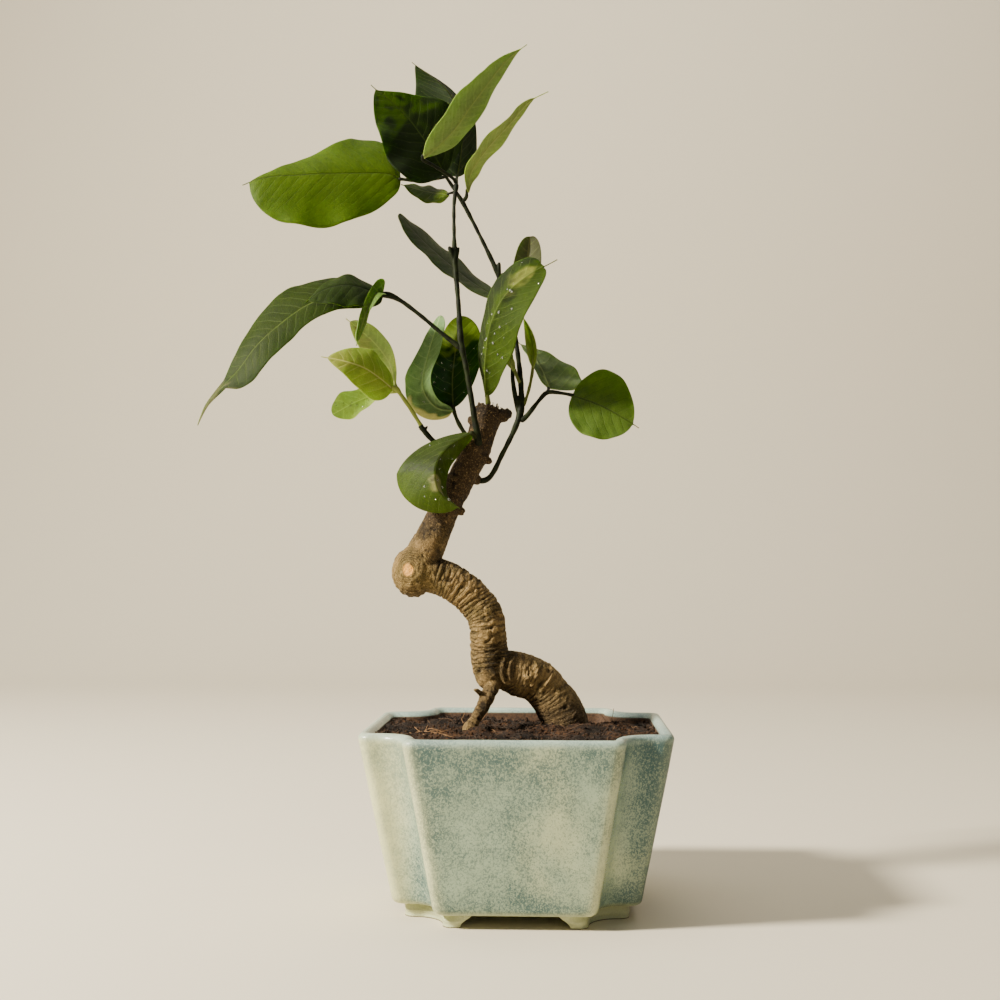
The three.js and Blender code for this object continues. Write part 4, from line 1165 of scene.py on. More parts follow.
def trunk_skin(voxel):
    """The limbs, stubs, folds, lumps and splinters as one softened skin."""
    shape = bmesh.new()
    limbs = [TRUNK_BASE, TRUNK_BEND, TRUNK_UPPER, PROP_ROOT]
    for nodes in limbs:
        tube(shape, nodes, 40, 90)
    for nodes in STUBS + FOLDS:
        tube(shape, nodes, 16, 20, rounded=True)
    for middle, reach in LUMPS:
        lump(shape, middle, reach)
    splinters(shape, random.Random(7))
    skin = fused(shape, voxel)
    softened(skin, 3)
    return skin


def middle_lines():
    """A search tree of the limbs' middle lines; each point has its limb, run, radius, direction."""
    known = []
    for limb, nodes in enumerate([TRUNK_BASE, TRUNK_BEND, TRUNK_UPPER, PROP_ROOT]):
        route = Route(nodes)
        count = 60
        for i in range(count + 1):
            share = route.share_at(i / count)
            place = curve_point(route.points, share)
            ahead = curve_forward(route.points, share)
            radius = radius_at(nodes, share)
            known.append((place, limb, route.length * i / count, radius, ahead))
    tree = kdtree.KDTree(len(known))
    for i, (place, *_) in enumerate(known):
        tree.insert(place, i)
    tree.balance()
    return tree, known


# places whose bark is darker or paler, in millimetres; at the waist, the fork and the neck the
# darker bark is painted shade in the creases
WAIST = (-8.0, -4.0, 106.0)
FORK = (-15.0, -10.0, 88.0)
NECK = (-36.0, -9.0, 151.0)
PROP_FOOT = (-20.6, -17.6, 77.0)
RING_PITCH = (3.7, 3.1, 6.0, 3.4)  # of the base, the bend, the upper part and the prop root
RING_DEPTH = (0.4, 0.8, 0.16, 0.16)
RINGED = (0.5, 1.0, 0.12, 0.25)  # how clearly the fine rings show there


def bark_relief(shape):
    """Carves rings, lumps, pits and the scar, and keeps what the bark's look needs."""
    tree, known = middle_lines()
    store = shape.verts.layers.float
    names = ("groove_and_shade", "scar", "run", "ringed", "around", "callus")
    groove_and_shade, scar, run_along, ringed, ring_around, callus = [store.new(name) for name in names]
    shape.normal_update()
    moves = []
    for vert in shape.verts:
        place = vert.co
        if place.z < SOIL_LEVEL - 6:
            continue
        best = None
        for _, index, distance in tree.find_n(place, 8):
            away = abs(distance - known[index][3])
            if best is None or away < best[0]:
                best = (away, index)
        middle, limb, run, _, ahead = known[best[1]]
        run += (place - middle).dot(ahead)
        wander = 1.1 * rough(place, 0.07, limb) + 0.35 * rough(place, 0.3, 4)
        ring = abs(((run / RING_PITCH[limb] + wander) % 1.0) - 0.5) * 2
        crease = 1 - eased(0.0, 0.5, ring)
        strength = eased(-0.3, 0.3, rough(place, 0.12, 11))
        on_knob = 1 - eased(10.5, 14, (place - KNOB).length)
        crease *= strength * (1 - on_knob)
        from_scar = place - SCAR
        out = from_scar.dot(SCAR_FACING)
        around = (from_scar - SCAR_FACING * out).length
        uneven_edge = around + 1.2 * rough(place, 0.35, 9)
        face = (1 - eased(2.1, 3.1, uneven_edge)) * eased(-6, -2, out)
        front = eased(-14, -5, out) * on_knob
        swell = abs(((around + 2.2 * rough(place, 0.2, 2)) / 2.6) % 1.0 - 0.5) * 2
        depth = -RING_DEPTH[limb] * crease - 0.24 * (1 - eased(0, 0.5, swell)) * front * (1 - face)
        depth -= 0.5 * face
        depth += 0.45 * rough(place, 0.13, 6) * (1 - face)
        depth += 0.26 * rough(place, 0.42, 1) * (1 - 0.8 * face)
        tick = rough(Vector((place.x, place.y, place.z * 0.6)), 0.95, 13)
        depth += 0.2 * tick * (1 - face)
        pit = eased(0.42, 0.6, rough(place, 0.3, 21)) * (1 - face) * (1 - front)
        depth -= 0.4 * pit
        under = (1 - eased(-9, -2, place.z - KNOB.z)) * on_knob
        depth += 0.7 * under * rough(place, 0.5, 31)
        torn = eased(213.5, 217, place.z)
        depth += torn * 0.8 * rough(place, 0.7, 17)
        # how dark the grooves and pits are drawn: partly the bark's own dark fissures, partly
        # painted shade
        vert[groove_and_shade] = min(1.0, 0.7 * crease + pit * 0.7 + 0.5 * max(-tick, 0))
        vert[scar] = face
        vert[run_along] = run
        vert[ringed] = RINGED[limb] * (1 - on_knob)
        vert[ring_around] = around
        vert[callus] = front * (1 - face)
        moves.append((vert, depth))
    for vert, depth in moves:
        vert.co += vert.normal * depth


def bark_look(settings):
    look = Look("trunk_bark")
    place = look.place()
    z = look.axes(place)[2]
    face = look.kept("scar")
    patches = look.cloud(place, 0.075, 3.0, 0.4)
    mottle = look.cloud(place, 0.3, 4.0, 0.6, 0.6)
    grain = look.cloud(place, 1.25, 4.0, 0.5, 0.7)
    # close rings across the bends, and growth rings round the scar
    wander = look.cloud(place, 0.07, 2.0, 0.3) * 2.4 + look.cloud(place, 0.45, 2.0) * 0.7
    broken = look.cloud(place, 0.16, 3.0)
    ring = abs((look.kept("run") / 1.9 + wander).part() - 0.5) * 2
    rings = ring.ease(0.35, 0.95) * look.kept("ringed") * (0.35 + broken.ease(0.36, 0.56) * 0.65)
    turn = abs((look.kept("around") / 1.0 + wander * 0.9).part() - 0.5) * 2
    callus = look.kept("callus")
    callus_rings = turn.ease(0.4, 0.98) * callus * (0.1 + broken.ease(0.4, 0.6) * 0.4)
    rings = rings.most(callus_rings)
    groove_and_shade = look.kept("groove_and_shade").most(rings * 0.65)
    colour = look.mixed(patches.ease(0.38, 0.62), settings.tan, settings.olive)
    colour = look.mixed(mottle.ease(0.5, 0.7) * 0.4, colour, settings.pale)
    colour = look.mixed(callus * 0.5, colour, settings.olive)
    colour = look.mixed((1 - mottle.ease(0.3, 0.46)) * 0.3, colour, settings.deep)
    # painted shade: russet darkening in the creases at the waist, the fork and the neck, and under
    # the knob; the upper part and the base are the bark's own russet
    waist_shade = 1 - look.away(place, WAIST).ease(6.0, 15.0)
    fork_shade = 1 - look.away(place, FORK).ease(6.0, 13.0)
    dark = (z.ease(144.0, 172.0) * 0.9).most((1 - z.ease(80.0, 97.0)) * 0.8)
    above = 1 - look.away(place, NECK).ease(2.5, 7.0)
    below = (1 - z.ease(133.0, 141.0)) * (1 - look.away(place, KNOB[:]).ease(11.0, 15.0))
    dark = dark.most(waist_shade * 0.6).most(fork_shade * 0.6).most(above * 0.7).most(below * 0.75)
    colour = look.mixed(dark, colour, settings.russet)
    torn = z.ease(212.5, 217.0)
    colour = look.mixed(torn * 0.6, colour, settings.deep)
    foot = 1 - look.away(place, PROP_FOOT).ease(4.0, 9.0)
    colour = look.mixed(foot * 0.5, colour, settings.tan)
    colour = look.mixed(grain.ease(0.5, 0.7) * 0.7, colour, settings.deep)
    colour = look.mixed((1 - grain.ease(0.3, 0.46)) * 0.4, colour, settings.pale)
    flecks = look.cells(place, 1.0)
    fleck = (1 - flecks.ease(0.08, 0.24)) * 0.4 * mottle.ease(0.35, 0.6)
    colour = look.mixed(fleck, colour, settings.pale)
    # grooves, rings and pits darkened: partly the bark's own dark fissures, partly painted shade in
    # them
    colour = look.mixed((groove_and_shade * 0.9).least(1.0), colour, settings.deep)
    wood = look.mixed(mottle.ease(0.35, 0.65) * 0.35, settings.wood, settings.pale)
    growth = abs((look.kept("around") / 0.7).part() - 0.5) * 2
    wood = look.mixed(growth.ease(0.5, 1.0) * 0.3, wood, settings.tan)
    colour = look.mixed(face * 0.95, colour, wood)
    height = grain * 0.8 + mottle * 0.7 - rings * 0.9 - flecks.ease(0.0, 0.3) * 0.25
    return look.finish(
        look.surface(
            Base_Color=colour,
            Roughness=0.74 + 0.2 * grain,
            Normal=look.bumped(height, 1.1),
            Specular_IOR_Level=0.3,
        )
    )


class BonsaiTrunkSettings(bpy.types.PropertyGroup):
    """Grain and colours of the trunk"""

    voxel: bpy.props.FloatProperty(
        name="Skin step",
        description="Size of the trunk's mesh cells, in millimetres",
        default=0.42,
        min=0.3,
        max=2.0,
    )
    tan: bpy.props.FloatVectorProperty(
        name="Tan bark",
        description="Main colour of the bark",
        default=tone(166, 136, 84),
        size=4,
        subtype="COLOR",
    )
    olive: bpy.props.FloatVectorProperty(
        name="Olive bark",
        description="Greenish brown of the bark's patches",
        default=tone(112, 94, 50),
        size=4,
        subtype="COLOR",
    )
    pale: bpy.props.FloatVectorProperty(
        name="Pale flecks",
        description="Colour of the raised dry flecks",
        default=tone(214, 178, 120),
        size=4,
        subtype="COLOR",
    )
    # the groove colour is also painted shade in the grooves, rings and pits
    deep: bpy.props.FloatVectorProperty(
        name="Deep grooves",
        description="Colour of the grooves",
        default=tone(26, 18, 9),
        size=4,
        subtype="COLOR",
    )
    # the russet is also painted shade in the creases at the waist, the fork and the neck, and under
    # the knob
    russet: bpy.props.FloatVectorProperty(
        name="Russet",
        description="Reddish brown of the foot and the upper part",
        default=tone(46, 32, 18),
        size=4,
        subtype="COLOR",
    )
    wood: bpy.props.FloatVectorProperty(
        name="Cut wood",
        description="Colour of the healed cut on the knob",
        default=tone(255, 178, 66),
        size=4,
        subtype="COLOR",
    )


class BonsaiMakeTrunk(bpy.types.Operator):
    """Make the trunk with its rings, its knob and the torn cut"""

    bl_idname = "bonsai.make_trunk"
    bl_label = "Trunk"

    def execute(self, context):
        settings = context.scene.bonsai_trunk
        shape = trunk_skin(settings.voxel)
        bark_relief(shape)
        piece_of(shape, "barked_trunk", [bark_look(settings)], "bark", "trunk")
        return {"FINISHED"}


# Shoots

FRONT_SHOOT = [
    [-19.5, -2, 196, 2],
    [-17.6, -7.2, 203, 1.6],
    [-19.2, -9.4, 213.4, 1.35],
    [-21.1, -10.8, 226, 1.25],
    [-23.3, -11, 238.5, 1.2],
    [-25, -11, 246.2, 1.5],
    [-26.5, -10, 266.6, 1.05],
    [-28, -9, 284.4, 1.4],
    [-28.5, -8, 298.3, 0.85],
    [-28.7, -6, 311, 0.85],
    [-28, -4, 319.4, 1.2],
]
FRONT_STUBS = [
    [[-28.2, -9, 284, 1.1], [-29.6, -9.6, 287.6, 1], [-30.6, -10, 291, 0.9]],
    [[-27.6, -9, 285, 1], [-26.9, -8.6, 288, 0.8], [-26.3, -8, 291, 0.5]],
]
RIGHT_SHOOT = [
    [-22, 2, 188.4, 1.7],
    [-17, 1.6, 186.4, 1.4],
    [-13.6, 1, 187.4, 1.3],
    [-10.8, 0.2, 191, 1.2],
    [-7.6, -1.2, 197.4, 1.15],
    [-4, -3, 204.1, 1.15],
    [-0.6, -4.4, 211.3, 1.35],
    [1.3, -3, 218.2, 1.7],
    [1.3, 0, 229, 1.3],
    [0, 3, 242, 1.15],
    [-2, 5, 255.6, 1.05],
    [-4.8, 7, 267.5, 1],
    [-7.2, 8, 275, 1],
    [-9.9, 8, 283.1, 1.2],
    [-19, 6, 302.2, 0.85],
    [-25.2, 4, 314.1, 1.1],
]
RIGHT_STUBS = [
    [[-9, 8, 280.4, 1.1], [-9, 7.6, 284, 1], [-8.9, 7, 287.5, 0.8]],
    [
        [0.8, -3, 216, 1.5],
        [-1.2, -2.6, 224, 1.2],
        [-2.4, -1.6, 232, 1],
        [-2.6, -0.6, 239, 0.9],
        [-3.3, -0.6, 245.5, 0.7],
    ],
]
LEFT_SHOOT = [
    [-23, -1, 196.4, 1.5],
    [-30.4, -3.6, 199.4, 1.3],
    [-33.8, -5.2, 201.2, 1.3],
    [-37.8, -7.4, 203.9, 1.2],
    [-40.8, -9, 207.1, 1.2],
    [-42.5, -10, 209.4, 1.3],
]
LEFT_STUBS = [
    [[-41.6, -9.4, 208, 0.8], [-42.8, -9.2, 208.6, 0.6], [-43.9, -9, 208.9, 0.4]],
    [[-41.6, -9.6, 208.2, 0.8], [-40.6, -9.8, 209.4, 0.6], [-40, -10, 210.3, 0.4]],
]
STEM_REACH = 1.4  # how far a stem runs past its last node, into the leaf that it carries
SHOOTS = {
    "shoot_front": (FRONT_SHOOT, FRONT_STUBS),
    "shoot_right": (RIGHT_SHOOT, RIGHT_STUBS),
    "shoot_left": (LEFT_SHOOT, LEFT_STUBS),
}


def stem_relief(length, angle):
    """Small swellings along a green stem, and faint lengthwise ribs."""
    swelling = 0.07 * math.sin(length * 0.9 + math.sin(angle * 2))
    return swelling + 0.05 * math.sin(angle * 5 + length * 0.12)


def green_bark_look(settings, name, light):
    """Bark of the green stems; light is how far it goes towards the young green."""
    look = Look(name)
    place = look.place()
    mottle = look.cloud(place, 0.35, 4.0, 0.6)
    grain = look.cloud(look.stretched(place, 1.0, 1.0, 0.35), 2.4, 3.0)
    warts = look.cells(look.stretched(place, 1.0, 1.0, 0.6), 0.75)
    colour = look.mixed(mottle.ease(0.35, 0.68), settings.stem_dark, settings.stem_green)
    colour = look.mixed(light, colour, settings.stem_young)
    colour = look.mixed((1 - warts.ease(0.07, 0.16)) * 0.35, colour, settings.stem_fleck)
    height = grain * 0.5 + (1 - warts.ease(0.05, 0.2))
    return look.finish(
        look.surface(
            Base_Color=colour,
            Roughness=0.5 + 0.25 * grain,
            Normal=look.bumped(height, 0.16),
            Specular_IOR_Level=0.14,
        )
    )


def reaching(nodes, more):
    """The nodes and one more past their end, so that the stem meets the leaf that it carries."""
    end = Vector(nodes[-1][:3])
    ahead = (end - Vector(nodes[-2][:3])).normalized()
    return [*nodes, [*(end + ahead * more), nodes[-1][3]]]


class BonsaiMakeShoots(bpy.types.Operator):
    """Make the three green shoots with their nodes and stubs"""

    bl_idname = "bonsai.make_shoots"
    bl_label = "Green Shoots"

    def execute(self, context):
        look = green_bark_look(context.scene.bonsai_leaves, "green_bark", 0.0)
        for node, (stem, stubs) in SHOOTS.items():
            shape = bmesh.new()
            rows = int(Route(stem).length * 1.1)
            tube(shape, reaching(stem, STEM_REACH), 20, rows, relief=stem_relief)
            for nodes in stubs:
                tube(shape, nodes, 14, 18, rounded=True)
            skin = fused(shape, 0.28)
            softened(skin, 2)
            name = "stem_" + node.removeprefix("shoot_")
            piece_of(skin, name, [look], "green_bark", node)
        return {"FINISHED"}


# Leaves. A leaflet hangs on its rib, from base to tip; a and b are the half widths to its two
# sides as vectors, one or more from base to tip. shape_a and shape_b set how far along each side
# is widest and how blunt its ends are, drip is the share of the narrow tip, and tail widens it.
# A patch is: share along, share across, reach along, reach across, colour, strength; SHADE patches
# are painted shadow.
# A drop of dew is: share along, share across, radius; wet is how many more a rule strews.


def leaflet(rib, a, b, face, back, **rest):
    return {"rib": rib, "a": a, "b": b, "face": face, "back": back, **rest}


BROWN = tone(122, 84, 46)
STRAW = tone(190, 180, 120)
# painted shadow: the colour of shade cast by other leaves and by a leaf's own folds
SHADE = tone(10, 15, 4)

LEAVES = {
    "leaf_top": {
        "slot": "leaf_green",
        "stalks": [
            [[-28, -4, 320.2, 0.9], [-28, -1.6, 323, 0.8], [-27.9, 1, 326.4, 0.7]],
            [
                [-28, -2.8, 322, 0.9], [-29.6, -8, 322.8, 0.8], [-36.6, -18.6, 324.8, 0.7],
                [-41.4, -24, 326.8, 0.9], [-39.2, -24.6, 328.8, 0.8],
            ],
        ],
        "blades": [
            leaflet(
                [
                    [-27.9, 1, 325.5], [-26.4, 6, 339.6], [-26.9, 12, 357], [-34.3, 16, 371.5],
                    [-50.6, 18, 385.6],
                ],
                [[-27, 10, 5]], [[5.6, 13, 2.8]], tone(24, 38, 1), tone(20, 34, 1),
                shape_a=(0.6, 0.92), shape_b=(0.5, 1.1), drip=0.03, flip=True,
            ),
            leaflet(
                [
                    [-41, -24, 327.2], [-29, -26, 337.5], [-21, -28, 347.4], [-12.7, -28, 358.8],
                    [-4.9, -26, 369.2], [4.4, -23, 377.4],
                ],
                [[-3.4, -10, 2.8]], [[3.6, 10, -2.4]], tone(56, 77, 28), tone(110, 128, 69),
                shape_a=(0.66, 1.1), shape_b=(0.78, 1.0), drip=0.04, curl=-0.06,
                veins=tone(124, 138, 72),
            ),
        ],
    },
    "leaf_crossing": {
        "slot": "leaf_green",
        "stalks": [
            [[-25.6, 3.8, 314.8, 1], [-29.4, 2, 320.4, 0.8], [-34.4, -1.6, 327.4, 0.8]],
            [[-33, -0.6, 325.2, 0.7], [-43, -0.4, 323.6, 0.7], [-54.4, -1.8, 324.2, 0.8]],
            [[-25.2, 3.6, 315, 1], [-23.6, 1.6, 316.6, 0.8], [-23.5, -0.2, 319.6, 0.6]],
            [[-28.4, 2.6, 319, 0.7], [-30.4, 4.6, 319.4, 0.6], [-33, 6.4, 319.2, 0.6]],
        ],
        "blades": [
            leaflet(
                [
                    [-53.2, -2, 323.8], [-58.2, -3, 326.4], [-76.7, -7, 325.8], [-97.1, -10, 324.5],
                    [-115.8, -12, 322.4], [-124.4, -10, 320],
                ],
                [[-0.5, 8, 18.6], [-0.5, 9, 21], [-0.5, 8, 14], [-0.5, 5, 8]], [[1.8, -10, -24.8]],
                tone(61, 82, 2), tone(54, 74, 5), shape_a=(0.56, 0.8), shape_b=(1.12, 0.42),
                drip=0.05, wave=0.04, veins=tone(40, 52, 6),
            ),
            leaflet(
                [[-33.6, -1.4, 326.2], [-39.3, -3, 336], [-51, -4, 352.2], [-66.9, -5, 366.6]],
                [[-13.7, -8, -15.4]], [[13.6, 7, 14.8]], tone(36, 61, 1), tone(43, 66, 1),
                shape_a=(0.7, 0.7), shape_b=(0.6, 1.1), drip=0.06, flip=True, veins=tone(40, 54, 8),
                # painted shadow cast by the leaflets round it, over all but its tip
                patches=[(0.06, 0.1, 0.56, 3.0, SHADE, 0.82)],
            ),
            leaflet(
                [
                    [-23.6, 0, 318.2], [-22.8, -2, 325.4], [-14.6, -5, 336.8], [-3.4, -7, 348],
                    [4.3, -8, 356.7], [13.8, -6, 362.3],
                ],
                [[-1.4, -9, 0.9]], [[1.4, 9, -0.9]], tone(98, 116, 46), tone(120, 134, 70),
                shape_a=(0.72, 0.7), shape_b=(0.72, 0.7), curl=0.06, drip=0.12,
            ),
            leaflet(
                [[-31.9, 6, 319.1], [-42, 10, 321.8], [-55, 13, 326.1]], [[-0.6, 8, 6]],
                [[0, -5, -6]], tone(63, 80, 15), tone(58, 75, 12),
            ),
        ],
    },
    "leaf_left": {
        "slot": "leaf_green",
        "stalks": [
            [
                [-25, -11, 244.6, 1.2], [-34.4, -12, 251.9, 0.9], [-43, -12.6, 259.2, 0.9],
                [-52.3, -13, 266.2, 1], [-57.6, -13, 268.6, 1.6], [-61, -13.2, 268.6, 1.2],
            ],
        ],
        "blades": [
            leaflet(
                [
                    [-59.8, -13, 268.1], [-76.2, -17, 269.6], [-92.8, -21, 262.8],
                    [-104.1, -24, 253.8], [-113.3, -26, 244.7], [-121.3, -27, 233.6],
                    [-128.7, -27, 225.8], [-135.2, -27, 218.4], [-139.3, -26, 209.3],
                ],
                [[-4, 8, 9], [-7.6, 9, 12], [-8.6, 8, 11], [-7.6, 8, 10.4]],
                [
                    [1, -6, -12.5], [2.6, -5, -8.4], [5.4, -5, -5.8], [7.6, -6, -6.8],
                    [10.6, -8, -8.6], [10, -8, -8],
                ],
                tone(35, 48, 4), tone(41, 56, 9), shape_a=(0.8, 0.6), shape_b=(1.1, 0.36), drip=0.2,
                tail=9, veins=tone(74, 88, 36),
                patches=[
                    # painted shadow of the small leaflet above, near the base
                    (0.14, 0.2, 0.13, 1.1, SHADE, 0.6),
                    (0.94, 0.0, 0.13, 3.0, tone(82, 80, 46), 0.85),
                ],
            ),
            leaflet(
                [
                    [-60.1, -13.8, 268.6], [-73.5, -22, 271.6], [-83.9, -27, 268.4],
                    [-91.9, -30, 262],
                ],
                [[-1.1, 6, 6.4]], [[2.2, -8, -9.6]], tone(34, 48, 8), tone(40, 54, 14),
                veins=tone(20, 26, 8),
            ),
            leaflet(
                [
                    [-59.4, -13.4, 269.6], [-62, -19, 268.5], [-65.2, -24, 260],
                    [-67.2, -27, 251.4], [-69.1, -28, 243.3],
                ],
                [[1.6, 1, 7.4], [-2, -2, 3], [-4.4, -3, -2]],
                [[5.4, -5, -2], [1.6, -1, 0], [2.6, 6, 1.6]], tone(76, 100, 40), tone(104, 132, 76),
                shape_a=(0.36, 0.5), shape_b=(0.7, 0.5),
            ),
        ],
    },
    "leaf_yellow": {
        "slot": "leaf_yellow",
        "stalks": [
            [
                [-41.9, -9.7, 208.6, 0.9], [-47.7, -12, 218, 0.9], [-51.6, -13, 223.7, 0.9],
                [-53.6, -14, 226.4, 1.3], [-55.6, -15.4, 226.8, 1],
            ],
            [[-53.2, -13.8, 226, 1], [-54, -12.8, 227.6, 0.8], [-54.8, -11.8, 230.2, 0.7]],
            [[-53, -13.6, 225.6, 1], [-54.6, -13.2, 225.2, 0.8], [-57.6, -12.2, 225.2, 0.7]],
        ],
        "blades": [
            leaflet(
                [
                    [-54.5, -15, 226.1], [-60.2, -19, 230.5], [-66.2, -23, 234.3],
                    [-72.8, -26, 236.5], [-84.9, -27, 239.1],
                ],
                [[2.4, 5, 9.2]], [[-4.6, -3, -8.2]], tone(135, 153, 56), tone(143, 165, 71),
                shape_a=(0.95, 0.62), shape_b=(0.5, 0.75), drip=0.08, veins=tone(176, 176, 100),
                patches=[(0.85, 0.2, 0.2, 1.2, tone(112, 104, 52), 0.5)],
            ),
            leaflet(
                [[-54, -12, 228.4], [-57.4, -10, 238.9], [-64, -8, 247.9], [-77.3, -7, 259.4]],
                [[2.4, 4, 2], [3.6, 4, 4.2], [5, 3, 6.4]], [[-6, -2, -5]], tone(187, 201, 116),
                tone(192, 206, 172), shape_a=(1.1, 0.55),
                patches=[(0.8, 0.1, 0.06, 0.5, BROWN, 0.8), (0.62, 0.6, 0.1, 0.4, STRAW, 0.6)],
                wet=8,
            ),
            leaflet(
                [
                    [-54.7, -13, 225.5], [-63, -11.5, 224.4], [-71.4, -10.5, 221.4],
                    [-82.6, -11, 215.6],
                ],
                [[-2, 3, 3.4], [-4.4, 4, 8.4]], [[1, -1.4, -1.4], [5, -4, -5.6]],
                tone(177, 208, 95), tone(177, 208, 114), shape_a=(1.7, 0.5), shape_b=(1.7, 0.5),
                drip=0, wave=0.1,
                dew=[(0.62, 0.3, 0.5), (0.7, 0.05, 0.6), (0.78, -0.3, 0.45), (0.66, -0.1, 0.4)],
                wet=8,
            ),
        ],
    },
    "leaf_mid": {
        "slot": "leaf_dark",
        "stalks": [
            [[-22, 1, 205, 1.1], [-26.2, 3, 211, 1], [-29, 5, 217, 0.9], [-30.2, 5.4, 221.4, 1.1]],
        ],
        "blades": [
            leaflet(
                [
                    [-30.1, 5, 219.1], [-37.6, 1, 220.8], [-42.6, -1, 228.4], [-40.6, 1, 243],
                    [-35.4, 5, 262.4],
                ],
                [[-3, 3, -6.6], [-9, 4, -4], [-4.4, 4, 1]],
                [[2, -4, 6], [5.6, -5, 1], [8.4, -5, 0.6]], tone(66, 90, 49), tone(100, 129, 79),
                shape_a=(0.72, 0.42), shape_b=(1.05, 0.6), drip=0,
                # painted shade near the base
                patches=[(0.16, -0.2, 0.16, 0.9, SHADE, 0.5), (0.1, -0.95, 0.2, 0.3, STRAW, 0.8)],
                wet=8,
            ),
            leaflet(
                [[-29.9, 6, 220.1], [-30.3, 7, 232.8], [-29, 9, 247.8], [-27.4, 13, 263.6]],
                [[-13, 2, -4], [-12.6, 2, -2.6], [-10.4, 2, -1.6], [-10, 2, -1.4]],
                [[12.6, 4, 3.6]], tone(48, 84, 7), tone(22, 44, 3), shape_a=(0.8, 0.45),
                shape_b=(0.98, 0.55), drip=0, flip=True,
                patches=[
                    # painted light on the lit top of the leaflet, and a painted bluish reflection on
                    # its wet face
                    (0.87, 0.0, 0.27, 1.6, tone(84, 104, 16), 0.85),
                    (0.36, -0.5, 0.2, 0.4, tone(46, 66, 52), 0.55),
                ],
                dew=[(0.5, -0.5, 0.4), (0.42, -0.35, 0.35), (0.36, -0.6, 0.45)], wet=12,
            ),
        ],
    },
    "leaf_front": {
        "slot": "leaf_dark",
        "stalks": [[[-18.6, -6, 204.8, 1.2], [-19.2, -10, 206, 1.1], [-20.6, -13, 207, 1]]],
        "blades": [
            leaflet(
                [
                    [-20.2, -12, 207], [-30.2, -18, 200], [-35, -22, 191.4], [-33.8, -24, 181],
                    [-24.7, -21, 172.9],
                ],
                [[-14, 7, 3], [-17.6, 7, -2.4], [-12, 7, -10]], [[5.6, 11, -1]], tone(55, 70, 15),
                tone(62, 77, 23), shape_a=(1.05, 0.5), shape_b=(0.7, 0.9), drip=0.02,
                veins=tone(74, 88, 36),
                patches=[
                    (0.22, -0.55, 0.3, 0.6, tone(34, 42, 18), 0.7),
                    (0.68, 0.1, 0.1, 0.3, STRAW, 0.3),
                    # a thin stroke of painted shade
                    (0.63, -0.08, 0.02, 0.06, SHADE, 0.6),
                ],
                dew=[(0.86, 0.2, 0.6), (0.8, -0.3, 0.35), (0.74, -0.5, 0.35)], wet=18,
            ),
        ],
    },
    "leaf_centre": {
        "slot": "leaf_pale",
        "stalks": [[[-13.2, -3.4, 220, 1.3], [-13.6, -4.4, 222.6, 1.1], [-13.8, -6, 226, 1]]],
        "blades": [
            leaflet(
                [
                    [-13.8, -5, 224.1], [-13.4, -14, 238.9], [-10.9, -20, 253.4], [-5, -23, 265.1],
                    [5.4, -24, 274], [17.7, -20, 281.9],
                ],
                [[-3.4, 9, 1.6], [-3.8, 10, 4], [-6, 5, 17]],
                [[9.6, -5, -2], [14.4, -6, -5], [13.6, -4, -8]], tone(32, 47, 5), tone(49, 66, 10),
                shape_a=(1.2, 0.48), shape_b=(0.9, 0.6), drip=0.1, veins=tone(78, 92, 36),
                patches=[
                    (0.77, -0.2, 0.1, 0.35, tone(150, 152, 70), 0.45),
                    # painted shade on the folded-back left half, and a small fleck of painted shade
                    (0.4, -0.95, 0.5, 0.6, tone(30, 38, 18), 0.85),
                    (0.62, 0.1, 0.05, 0.2, SHADE, 0.6),
                ],
                dew=[
                    (0.66, 0.1, 0.55), (0.56, 0.45, 0.5), (0.52, 0.1, 0.65), (0.44, 0.3, 0.5),
                    (0.34, 0.2, 0.55), (0.28, 0.45, 0.4),
                ],
                wet=18,
            ),
        ],
    },
    "leaf_back": {
        "slot": "leaf_dark",
        "stalks": [
            [[-2, 5.2, 251, 1.1], [-1.8, 8, 253.4, 0.9], [-2.6, 10.4, 258, 0.8]],
            [[-2, 8.4, 254.4, 0.8], [-4.4, 13.4, 258.6, 0.8], [-5.2, 15.8, 264, 0.7]],
        ],
        "blades": [
            leaflet(
                [[-2.6, 10, 257], [0.6, 13, 270.8], [3.3, 15, 285.4], [5.1, 16, 301.3]],
                [[-6.2, -3, 0]], [[7, -4, 0.6]], tone(72, 78, 44), tone(84, 86, 56),
                shape_a=(1.5, 0.42), shape_b=(1.5, 0.42), drip=0,
            ),
            leaflet(
                [[-5.1, 15, 262.1], [-7.6, 20, 273.3], [-7.4, 22, 285.6]], [[-5.6, -2, 0.6]],
                [[4.4, 5, 2]], tone(52, 60, 34), tone(48, 54, 34), shape_a=(0.95, 0.5),
                shape_b=(0.95, 0.5), drip=0,
            ),
        ],
    },
    "leaf_grey": {
        "slot": "leaf_dark",
        "stalks": [[[-5.4, 7.4, 269, 1], [-7, 9.6, 269.6, 0.9], [-10.8, 9, 272, 0.8]]],
        "blades": [
            leaflet(
                [
                    [-9.9, 9, 271.5], [-22.6, 12, 280.6], [-36.8, 15, 292.9], [-48.8, 17, 304.4],
                    [-56.4, 18, 313.6],
                ],
                [[2, 6, 5], [3, 10, 6.6], [2.8, 10, 6]], [[-1.8, -9, -4.4]], tone(56, 68, 34),
                tone(58, 70, 38), shape_a=(0.9, 0.42), shape_b=(0.95, 0.42), drip=0,
                veins=tone(50, 58, 30),
            ),
        ],
    },
    "leaf_right": {
        "slot": "leaf_green",
        "stalks": [
            [
                [1, -4, 212.6, 1.2], [3.8, -4, 215, 1.2], [9.4, -3, 222.2, 0.9],
                [13, -2, 225.9, 1.1], [18.9, -2, 225.7, 0.8], [25.4, -2, 224.4, 0.8],
            ],
            [[12.8, -1.8, 225.6, 1], [13.5, 1.4, 227.2, 0.8], [13.6, 5.4, 229.6, 0.7]],
        ],
